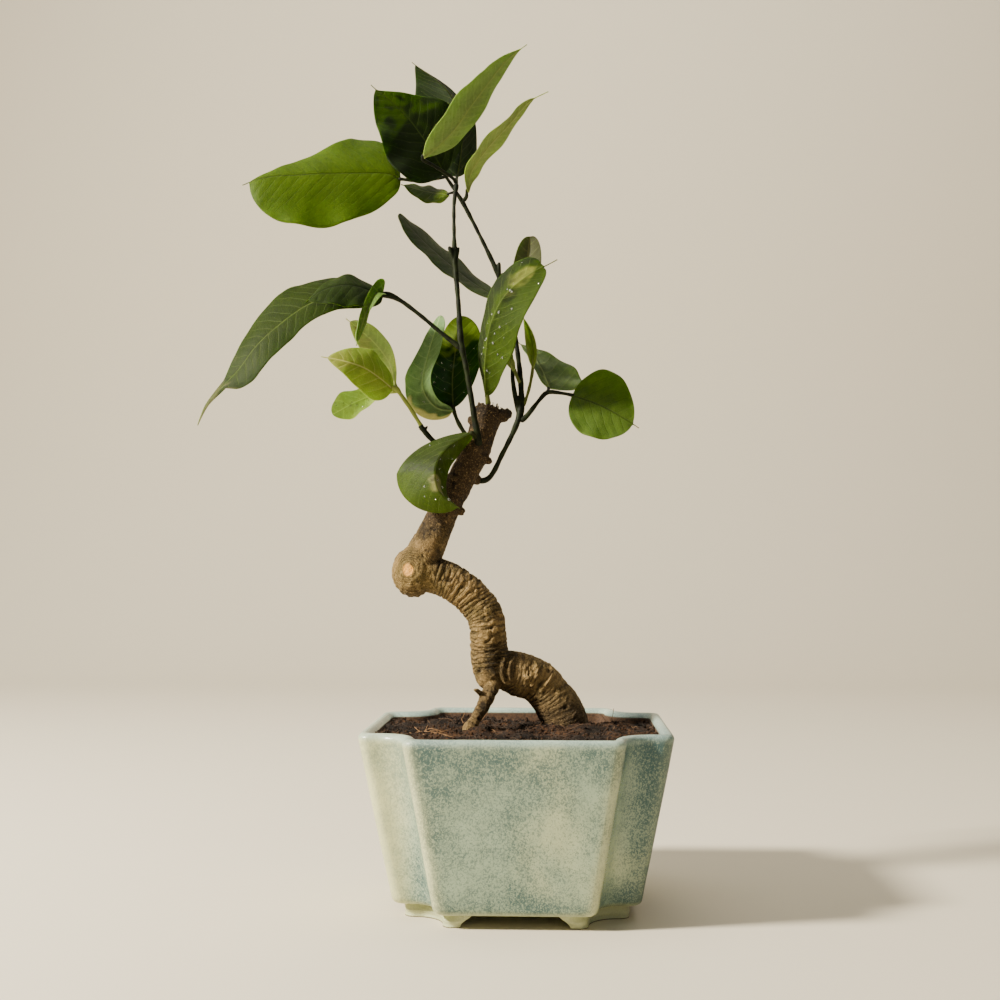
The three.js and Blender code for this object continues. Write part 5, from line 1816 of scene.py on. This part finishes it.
        "blades": [
            leaflet(
                [[24.3, -2, 224.3], [36.7, -5, 219.3], [46.4, -7, 213.7], [53.8, -8, 208.9]],
                [[6, 6.6, 15]], [[-6.4, -7, -15]], tone(72, 94, 35), tone(70, 90, 27),
                shape_a=(0.86, 0.52), shape_b=(0.86, 0.52), drip=0.1, wave=0.03, flip=True,
                veins=tone(40, 50, 12), patches=[(0.98, 0.0, 0.03, 2.0, BROWN, 0.9)],
            ),
            leaflet(
                [[13.6, 4.6, 228.3], [9.8, 9, 238.2], [5.2, 13, 245.8], [-0.6, 17, 251.6]],
                [[-4, -2, 1.2]], [[17, 7, -3]], tone(80, 96, 52), tone(84, 98, 60),
                shape_b=(0.6, 0.6),
            ),
        ],
    },
    "leaf_young": {
        "slot": "leaf_pale",
        "stalks": [
            [
                [2.2, -2.6, 219.6, 0.9], [4.2, -1.8, 225, 0.7], [6.2, -1, 234, 0.7],
                [6.7, -1.2, 239.4, 0.7],
            ],
        ],
        "blades": [
            leaflet(
                [[6.7, -1, 237.3], [6.3, -1.5, 245.5], [4.9, -1, 253.6], [2.1, 0, 261.3]],
                [[-2.6, -7, -0.2]], [[2.4, -6, -1.4]], tone(96, 116, 54), tone(110, 122, 66),
            ),
        ],
    },
    "leaf_bud": {
        "slot": "leaf_pale",
        "stalks": [[[0.9, 0.8, 230.4, 0.8], [-0.4, -3.4, 232.8, 0.8], [-1.8, -5, 236.6, 0.7]]],
        "blades": [
            leaflet(
                [[-1.4, -4.8, 235.6], [-3.4, -6, 241], [-5, -7, 246.6]], [[-1.8, 2, 0]],
                [[1.8, -2, 0.4]], tone(110, 124, 56), tone(110, 124, 64),
            ),
        ],
    },
}

VEIN_PITCH = 5.4  # distance between two side veins along the rib
VEIN_LEAN = 0.62  # how far a side vein runs forward for each millimetre outwards
VEIN_BEND = 0.018  # how much more it leans near the margin


def between(vectors, share):
    place = share * (len(vectors) - 1)
    i = min(int(place), max(len(vectors) - 2, 0))
    return vectors[i].lerp(vectors[min(i + 1, len(vectors) - 1)], place - i)


def width_share(share, peak, full, drip):
    """The blade's width at a share of its length, as a share of its widest."""
    u = min(share / (1 - drip), 1.0)
    return max(math.sin(math.pi * u**peak), 0.0) ** full


def blade_row(spec, route, share):
    """What one row across a blade needs: its place, its sides and their widths."""
    centre, ahead = route.at(share)
    side_a = between([Vector(v) for v in spec["a"]], share)
    side_b = between([Vector(v) for v in spec["b"]], share)
    up = side_a.cross(ahead).normalized() + ahead.cross(side_b).normalized()
    drip = spec.get("drip", 0.06)
    widths = []
    for side, key in ((side_a, "shape_a"), (side_b, "shape_b")):
        tail = spec.get("tail", 0) * eased(0.4, 0.7, share)
        least = (0.16 + (0.25 + tail) * (1 - share)) / side.length
        width = width_share(share, *spec.get(key, (0.8, 0.75)), drip)
        widths.append((side, max(width, least)))
    return centre, up.normalized(), widths


def vein_wave(along, distance, left):
    """How far a place is from the nearest side vein: 0 on it, 1 midway to the next."""
    phase = (along - VEIN_LEAN * distance - VEIN_BEND * distance**2) / VEIN_PITCH
    return abs((phase + (0.5 if left else 0.0)) % 1.0 - 0.5) * 2


def blade_point(spec, row, route, share, across):
    """A point of a leaflet's face, its upward direction and its distance from the rib."""
    centre, up, widths = row
    side, width = widths[0 if across < 0 else 1]
    out = abs(across)
    wave, curl = spec.get("wave", 0.05), spec.get("curl", 0.12)
    turn = 2 * math.pi * spec.get("waves", 3) * share + (0 if across < 0 else 2)
    lift = (wave * math.sin(turn) - curl) * side.length * width * out**2
    distance = side.length * width * out
    along = share * route.length
    near = vein_wave(along, distance, across < 0)
    inner = eased(0.4, 2.2, distance) * (1 - eased(0.72, 1.0, out))
    sign = -1 if spec.get("flip") else 1
    quilt = 0.12 * (eased(0.0, 0.75, near) - 0.6) * inner
    channel = -0.32 * math.exp(-((distance / 0.8) ** 2)) * (1 - share)
    place = centre + side * (width * out)
    frill = 0.4 * rough(place, 0.16, 3) * out**2 + 0.3 * rough(place, 0.09, 7)
    return place + up * (lift + sign * (quilt + channel) + frill), up, distance


def painted(spec, share, across, on_face):
    """The colour of a place on a leaflet, with its patches laid over it."""
    colour = Vector((spec["face"] if on_face else spec["back"])[:3])
    for along, side, reach_along, reach_side, patch, strength in spec.get("patches", []):
        away = math.hypot((share - along) / reach_along, (across - side) / reach_side)
        away *= 1 + 0.7 * rough((share * 50, across * 9, along * 7), 0.3)
        cover = strength * (1 - eased(0.7, 1.2, away))
        colour = colour.lerp(Vector(patch[:3]), cover)
    return (*colour, 1.0)


LEAF_THICK = 0.34
FACE_DEPTH = 0.2  # how far the leaf's face lies under the face of the CAD model's thicker blade


def blade(shape, spec, rows=84, columns=34):
    """One leaflet: its face, the same face moved down by its thickness, and the rim between."""
    layers = leaf_layers(shape)
    route = Route(spec["rib"])
    strips = {}
    grid = grid_shares(shape, columns, rows)
    ups = {}
    for vert, sideways, along in grid:
        key = round(along * rows)
        if key not in strips:
            flow = key / rows
            share = 0.45 * flow + 0.55 * (0.5 - 0.5 * math.cos(math.pi * flow))
            strips[key] = (share, blade_row(spec, route, share))
        share, row = strips[key]
        across = sideways * 2 - 1
        place, up, distance = blade_point(spec, row, route, share, across)
        vert.co = place - up * FACE_DEPTH
        vert[layers["along"]] = share * route.length
        vert[layers["side"]] = math.copysign(distance, across)
        vert[layers["out"]] = abs(across)
        vert[layers["down"]] = up * (LEAF_THICK * (1.25 - 0.5 * abs(across)))
        vert[layers["upper"]] = 0.0 if spec.get("flip") else 1.0
        vert[layers["paint"]] = painted(spec, share, across, True)
        vert[layers["veins"]] = spec.get("veins", (0, 0, 0, 0))
        ups[vert] = (share, across)
    verts = [vert for vert, _, _ in grid]
    faces = list({face for vert in verts for face in vert.link_faces})
    made = bmesh.ops.extrude_face_region(shape, geom=faces)["geom"]
    low = [item for item in made if isinstance(item, bmesh.types.BMVert)]
    for vert in low:
        share = vert[layers["along"]] / route.length
        across = math.copysign(vert[layers["out"]], vert[layers["side"]])
        rib = 0.45 * (1 - share) * math.exp(-((vert[layers["side"]] / 0.7) ** 2))
        down = vert[layers["down"]]
        vert.co -= down + down.normalized() * rib
        vert[layers["upper"]] = 1.0 if spec.get("flip") else 0.0
        vert[layers["paint"]] = painted(spec, share, across, False)
    every = {face for vert in verts + low for face in vert.link_faces}
    bmesh.ops.recalc_face_normals(shape, faces=list(every))
    return route


def leaf_layers(shape):
    """The numbers and colours that a leaf keeps at each of its points."""
    made = {}
    kinds = {
        "along": "float",
        "side": "float",
        "out": "float",
        "upper": "float",
        "down": "float_vector",
        "paint": "float_color",
        "veins": "float_color",
    }
    for name, kind in kinds.items():
        store = getattr(shape.verts.layers, kind)
        made[name] = store.get(name) or store.new(name)
    return made


def leaf_look(name, glow, shine):
    """Leaf skin: painted colour, veins, a fine net of small veins, and light that shines through."""
    look = Look(name)
    place = look.place()
    paint = look.kept("paint", "Color")
    vein_colour = look.kept("veins", "Color")
    given = look.kept("veins", "Alpha")
    side = look.kept("side")
    along = look.kept("along")
    out = look.kept("out")
    upper = look.kept("upper")
    distance = abs(side)
    left = 0.5 * (1 - side.ease(-0.01, 0.01))
    lean = distance * VEIN_LEAN + distance * distance * VEIN_BEND
    wander = 0.55 * look.cloud(place, 0.14, 2.0)
    phase = ((along - lean) / VEIN_PITCH + left + wander - 0.27).part()
    near = abs(phase - 0.5) * 2
    side_vein = (1 - near.ease(0.02, 0.16 - 0.07 * out)) * (1 - out.ease(0.8, 0.95))
    rib = 1 - distance.ease(0.16, 0.52)
    flat = look.point(side, along)
    net = look.cells(flat, 0.95, "DISTANCE_TO_EDGE")
    mesh = 1 - net.ease(0.0, 0.1)
    broad = look.cloud(place, 0.07, 3.0, 0.4)
    mottle = look.cloud(place, 0.5, 4.0, 0.5, 0.6)
    darker = look.mixed(1.0, paint, (0.5, 0.52, 0.55, 1.0), "MULTIPLY")
    paler = look.mixed(1.0, paint, (1.4, 1.34, 1.3, 1.0), "MULTIPLY")
    colour = look.mixed(broad.ease(0.46, 0.66) * 0.4, paint, darker)
    colour = look.mixed((1 - broad.ease(0.34, 0.5)) * 0.4, colour, paler)
    colour = look.mixed(mottle.ease(0.5, 0.72) * 0.4, colour, darker)
    colour = look.mixed((1 - mottle.ease(0.3, 0.46)) * 0.35, colour, paler)
    colour = look.mixed(mesh * 0.22, colour, darker)
    # between the veins the skin is a little paler, beside them a little darker
    colour = look.mixed(near.ease(0.1, 0.5) * (1 - near.ease(0.6, 1.0)) * 0.12, colour, darker)
    usual = look.mixed(0.12, paler, tone(190, 196, 120))
    lines = look.mixed(given, usual, vein_colour)
    colour = look.mixed((side_vein * 0.34).most(rib * 0.7), colour, lines)
    colour = look.mixed(out.ease(0.965, 0.995) * 0.35, colour, paler)
    specks = look.cells(place, 0.8)
    colour = look.mixed((1 - specks.ease(0.03, 0.08)) * 0.3, colour, tone(170, 166, 110))
    sign = upper * 2 - 1
    height = (0.5 - sign * (side_vein * 0.3).most(rib * 0.5)) + net.ease(0.0, 0.2) * 0.16
    height = height + mottle * 0.25
    gloss = (shine + 0.2 * mottle) + (1 - upper) * 0.12
    return look.finish(
        look.surface(
            Base_Color=colour,
            Roughness=gloss,
            Normal=look.bumped(height, 0.2),
            Subsurface_Weight=glow,
            Subsurface_Radius=(0.9, 1.2, 0.35),
            Subsurface_Scale=0.9 * MM,
            Specular_IOR_Level=0.08,
        )
    )


LEAF_LOOKS = {
    # share of light that goes through, roughness, how young the stalk's green is
    "leaf_green": (0.55, 0.47, 0.0),
    "leaf_dark": (0.4, 0.4, 0.05),
    "leaf_pale": (0.55, 0.48, 0.35),
    "leaf_yellow": (0.6, 0.48, 0.9),
}


class BonsaiLeafSettings(bpy.types.PropertyGroup):
    """Colours of stems and drops"""

    stem_dark: bpy.props.FloatVectorProperty(
        name="Dark stem",
        description="Colour of the stems' shaded bark",
        default=tone(10, 14, 5),
        size=4,
        subtype="COLOR",
    )
    stem_green: bpy.props.FloatVectorProperty(
        name="Green stem",
        description="Colour of the stems' green bark",
        default=tone(28, 36, 12),
        size=4,
        subtype="COLOR",
    )
    stem_young: bpy.props.FloatVectorProperty(
        name="Young stem",
        description="Colour of the youngest stalks",
        default=tone(128, 140, 62),
        size=4,
        subtype="COLOR",
    )
    stem_fleck: bpy.props.FloatVectorProperty(
        name="Stem flecks",
        description="Colour of the small pale warts on the stems",
        default=tone(74, 66, 38),
        size=4,
        subtype="COLOR",
    )


class BonsaiMakeLeaves(bpy.types.Operator):
    """Make the leaves, each with its stalks and leaflets"""

    bl_idname = "bonsai.make_leaves"
    bl_label = "Leaves"

    def execute(self, context):
        settings = context.scene.bonsai_leaves
        skins = {}
        for slot, (glow, shine, light) in LEAF_LOOKS.items():
            skin = leaf_look(slot + "_skin", glow, shine)
            skins[slot] = [skin, green_bark_look(settings, slot + "_stalk", light)]
        for node, leaf in LEAVES.items():
            shape = bmesh.new()
            leaf_layers(shape)
            for spec in leaf["blades"]:
                blade(shape, spec)
            for face in shape.faces:
                face.material_index = 0
            stalks = bmesh.new()
            for nodes in leaf["stalks"]:
                tube(stalks, nodes, 12, 26, rounded=True, relief=stem_relief)
            for face in stalks.faces:
                face.material_index = 1
            mesh = mesh_of(stalks, "stalks")
            shape.from_mesh(mesh)
            bpy.data.meshes.remove(mesh)
            name = "foliage_" + node.removeprefix("leaf_")
            piece_of(shape, name, skins[leaf["slot"]], leaf["slot"], node)
        return {"FINISHED"}


# Drops of water on the leaves


def water_look():
    look = Look("water")
    # the pale base colour, with only part of the light let through, makes each drop show as a pale
    # dot: a painted glint
    return look.finish(
        look.surface(
            Base_Color=(0.9, 0.94, 0.88, 1.0),
            Roughness=0.05,
            IOR=1.33,
            Transmission_Weight=0.82,
        )
    )


class BonsaiMakeDew(bpy.types.Operator):
    """Make the small drops of water that lie on the leaves"""

    bl_idname = "bonsai.make_dew"
    bl_label = "Drops of Water"

    def execute(self, context):
        shape = bmesh.new()
        for leaf in LEAVES.values():
            for spec in leaf["blades"]:
                route = Route(spec["rib"])
                chooser = random.Random(round(route.length * 10))
                loose = [
                    (
                        chooser.uniform(0.12, 0.92),
                        chooser.uniform(-0.85, 0.85),
                        0.2 + 0.34 * chooser.random() ** 2,
                    )
                    for _ in range(spec.get("wet", 0))
                ]
                for share, across, radius in spec.get("dew", []) + loose:
                    row = blade_row(spec, route, share)
                    place, up, _ = blade_point(spec, row, route, share, across)
                    seen = 1 if up.dot(EYE - place) > 0 else -1
                    depth = FACE_DEPTH if seen > 0 else FACE_DEPTH + LEAF_THICK
                    place = place - up * depth + up * seen * radius * 0.3
                    flat = Matrix.Diagonal((radius, radius * 1.15, radius * 0.62, 1))
                    turn = up.to_track_quat("Z", "Y").to_matrix().to_4x4()
                    bmesh.ops.create_icosphere(
                        shape,
                        subdivisions=2,
                        radius=1,
                        matrix=Matrix.Translation(place) @ turn @ flat,
                    )
        piece_of(shape, "dew", [water_look()], "leaf_pale")
        return {"FINISHED"}


# Stage


class BonsaiStageSettings(bpy.types.PropertyGroup):
    """Floor and lights"""

    floor: bpy.props.FloatVectorProperty(
        name="Floor",
        description="Colour of the plain pale floor",
        default=tone(225, 215, 192),
        size=4,
        subtype="COLOR",
    )
    key: bpy.props.FloatProperty(
        name="Key light",
        description="Strength of the soft light from the left",
        default=74.0,
        min=0.0,
        unit="POWER",
    )
    fill: bpy.props.FloatProperty(
        name="Fill light",
        description="Strength of the soft light from the front right",
        default=1.2,
        min=0.0,
        unit="POWER",
    )
    backdrop: bpy.props.FloatProperty(
        name="Backdrop light",
        description="Strength of the soft light on the backdrop",
        default=22.0,
        min=0.0,
        unit="POWER",
    )
    around: bpy.props.FloatProperty(
        name="Light all round",
        description="Strength of the even light from all sides",
        default=0.155,
        min=0.0,
    )


def aimed(thing, place, target):
    thing.location = place
    thing.rotation_euler = (target - place).to_track_quat("-Z", "Y").to_euler()


def soft_light(name, power, size, place, target, colour):
    light = bpy.data.lights.new(name, "AREA")
    light.shape = "DISK"
    light.size = size
    light.energy = power
    light.color = colour
    lamp = bpy.data.objects.new(name, light)
    bpy.context.scene.collection.objects.link(lamp)
    aimed(lamp, place, target)


def studio_floor(settings):
    """A plain floor that turns up in a wide cove behind the object."""
    shape = bmesh.new()
    ends = [shape.verts.new((side, -1.6, 0)) for side in (-2.6, 2.6)]
    edge = [shape.edges.new(ends)]
    reach, bend = 1.1, 0.6
    path = [(reach, 0.0)]
    path += [
        (reach + bend * math.sin(a), bend - bend * math.cos(a))
        for a in [math.radians(90 * i / 16) for i in range(1, 17)]
    ]
    path.append((reach + bend, 3.2))
    for y, z in path:
        made = bmesh.ops.extrude_edge_only(shape, edges=edge)["geom"]
        edge = [item for item in made if isinstance(item, bmesh.types.BMEdge)]
        verts = {v for v in made if isinstance(v, bmesh.types.BMVert)}
        edge = [item for item in edge if set(item.verts) <= verts]
        for vert in verts:
            vert.co.y, vert.co.z = y, z
    for face in shape.faces:
        face.smooth = True
    bmesh.ops.recalc_face_normals(shape, faces=shape.faces)
    floor = bpy.data.objects.new("floor", mesh_of(shape, "floor"))
    look = Look("floor_paper")
    grain = look.cloud(look.place(), 0.02, 3.0)
    colour = look.mixed(grain * 0.1, settings.floor, tone(205, 198, 184))
    floor.data.materials.append(look.finish(look.surface(Base_Color=colour, Roughness=0.9)))
    bpy.context.scene.collection.objects.link(floor)


class BonsaiSetStage(bpy.types.Operator):
    """Set the pale floor, the soft lights and the camera"""

    bl_idname = "bonsai.set_stage"
    bl_label = "Floor, Lights and Camera"

    def execute(self, context):
        settings = context.scene.bonsai_stage
        studio_floor(settings)
        target = POT_FOOT + Vector((-0.02, 0, 0.17))
        left = target + Vector((-1.16, -0.5, 0.74))
        behind = POT_FOOT + Vector((0, 0.45, 1.6))
        right = target + Vector((0.9, -1.2, 0.5))
        soft_light("key", settings.key, 0.22, left, target, (1.0, 0.93, 0.8))
        soft_light("fill", settings.fill, 1.4, right, target, (0.92, 0.96, 1.0))
        wall = POT_FOOT + Vector((0, 1.7, 0.55))
        soft_light("backdrop_light", settings.backdrop, 1.8, behind, wall, (1.0, 0.96, 0.88))
        world = bpy.data.worlds.new("studio")
        world.use_nodes = True
        background = world.node_tree.nodes["Background"]
        background.inputs["Color"].default_value = tone(236, 232, 224)
        background.inputs["Strength"].default_value = settings.around
        context.scene.world = world

        lens = bpy.data.cameras.new("camera")
        lens.sensor_width = SENSOR
        lens.lens = SENSOR * FOCAL_SHARE
        lens.clip_end = 20.0
        eye = bpy.data.objects.new("camera", lens)
        context.scene.collection.objects.link(eye)
        eye.location = POT_FOOT + EYE * MM
        eye.rotation_euler = (math.pi / 2 + EYE_TILT, 0, EYE_TURN)
        context.scene.camera = eye
        return {"FINISHED"}


class BonsaiPanel(bpy.types.Panel):
    """The bonsai's pieces and their settings"""

    bl_idname = "VIEW3D_PT_bonsai"
    bl_label = "Pongam Bonsai"
    bl_space_type = "VIEW_3D"
    bl_region_type = "UI"
    bl_category = "Bonsai"

    def draw(self, context):
        for title, group, buttons in SECTIONS:
            box = self.layout.box()
            box.label(text=title)
            for button in buttons:
                box.operator(button.bl_idname)
            if group:
                settings = getattr(context.scene, group)
                for name in settings.bl_rna.properties.keys():
                    if name not in ("rna_type", "name"):
                        box.prop(settings, name)


SECTIONS = (
    ("Pot", "bonsai_pot", (BonsaiMakePot, BonsaiFinishNet)),
    ("Soil", "bonsai_soil", (BonsaiMakeSoil,)),
    ("Trunk", "bonsai_trunk", (BonsaiMakeTrunk,)),
    ("Shoots and leaves", "bonsai_leaves", (BonsaiMakeShoots, BonsaiMakeLeaves, BonsaiMakeDew)),
    ("Stage", "bonsai_stage", (BonsaiSetStage,)),
)
GROUPS = {
    "bonsai_pot": BonsaiPotSettings,
    "bonsai_soil": BonsaiSoilSettings,
    "bonsai_trunk": BonsaiTrunkSettings,
    "bonsai_leaves": BonsaiLeafSettings,
    "bonsai_stage": BonsaiStageSettings,
}
OPERATORS = [button for _, _, buttons in SECTIONS for button in buttons]


def register():
    for kind in [*GROUPS.values(), *OPERATORS, BonsaiPanel]:
        bpy.utils.register_class(kind)
    for name, kind in GROUPS.items():
        setattr(bpy.types.Scene, name, bpy.props.PointerProperty(type=kind))


def unregister():
    for name in GROUPS:
        delattr(bpy.types.Scene, name)
    for kind in reversed([*GROUPS.values(), *OPERATORS, BonsaiPanel]):
        bpy.utils.unregister_class(kind)


def main():
    register()
    bpy.ops.bonsai.make_pot()
    bpy.ops.bonsai.finish_net()
    bpy.ops.bonsai.make_soil()
    bpy.ops.bonsai.make_trunk()
    bpy.ops.bonsai.make_shoots()
    bpy.ops.bonsai.make_leaves()
    bpy.ops.bonsai.make_dew()
    bpy.ops.bonsai.set_stage()
    bpy.context.view_layer.update()


if __name__ == "__main__":
    main()
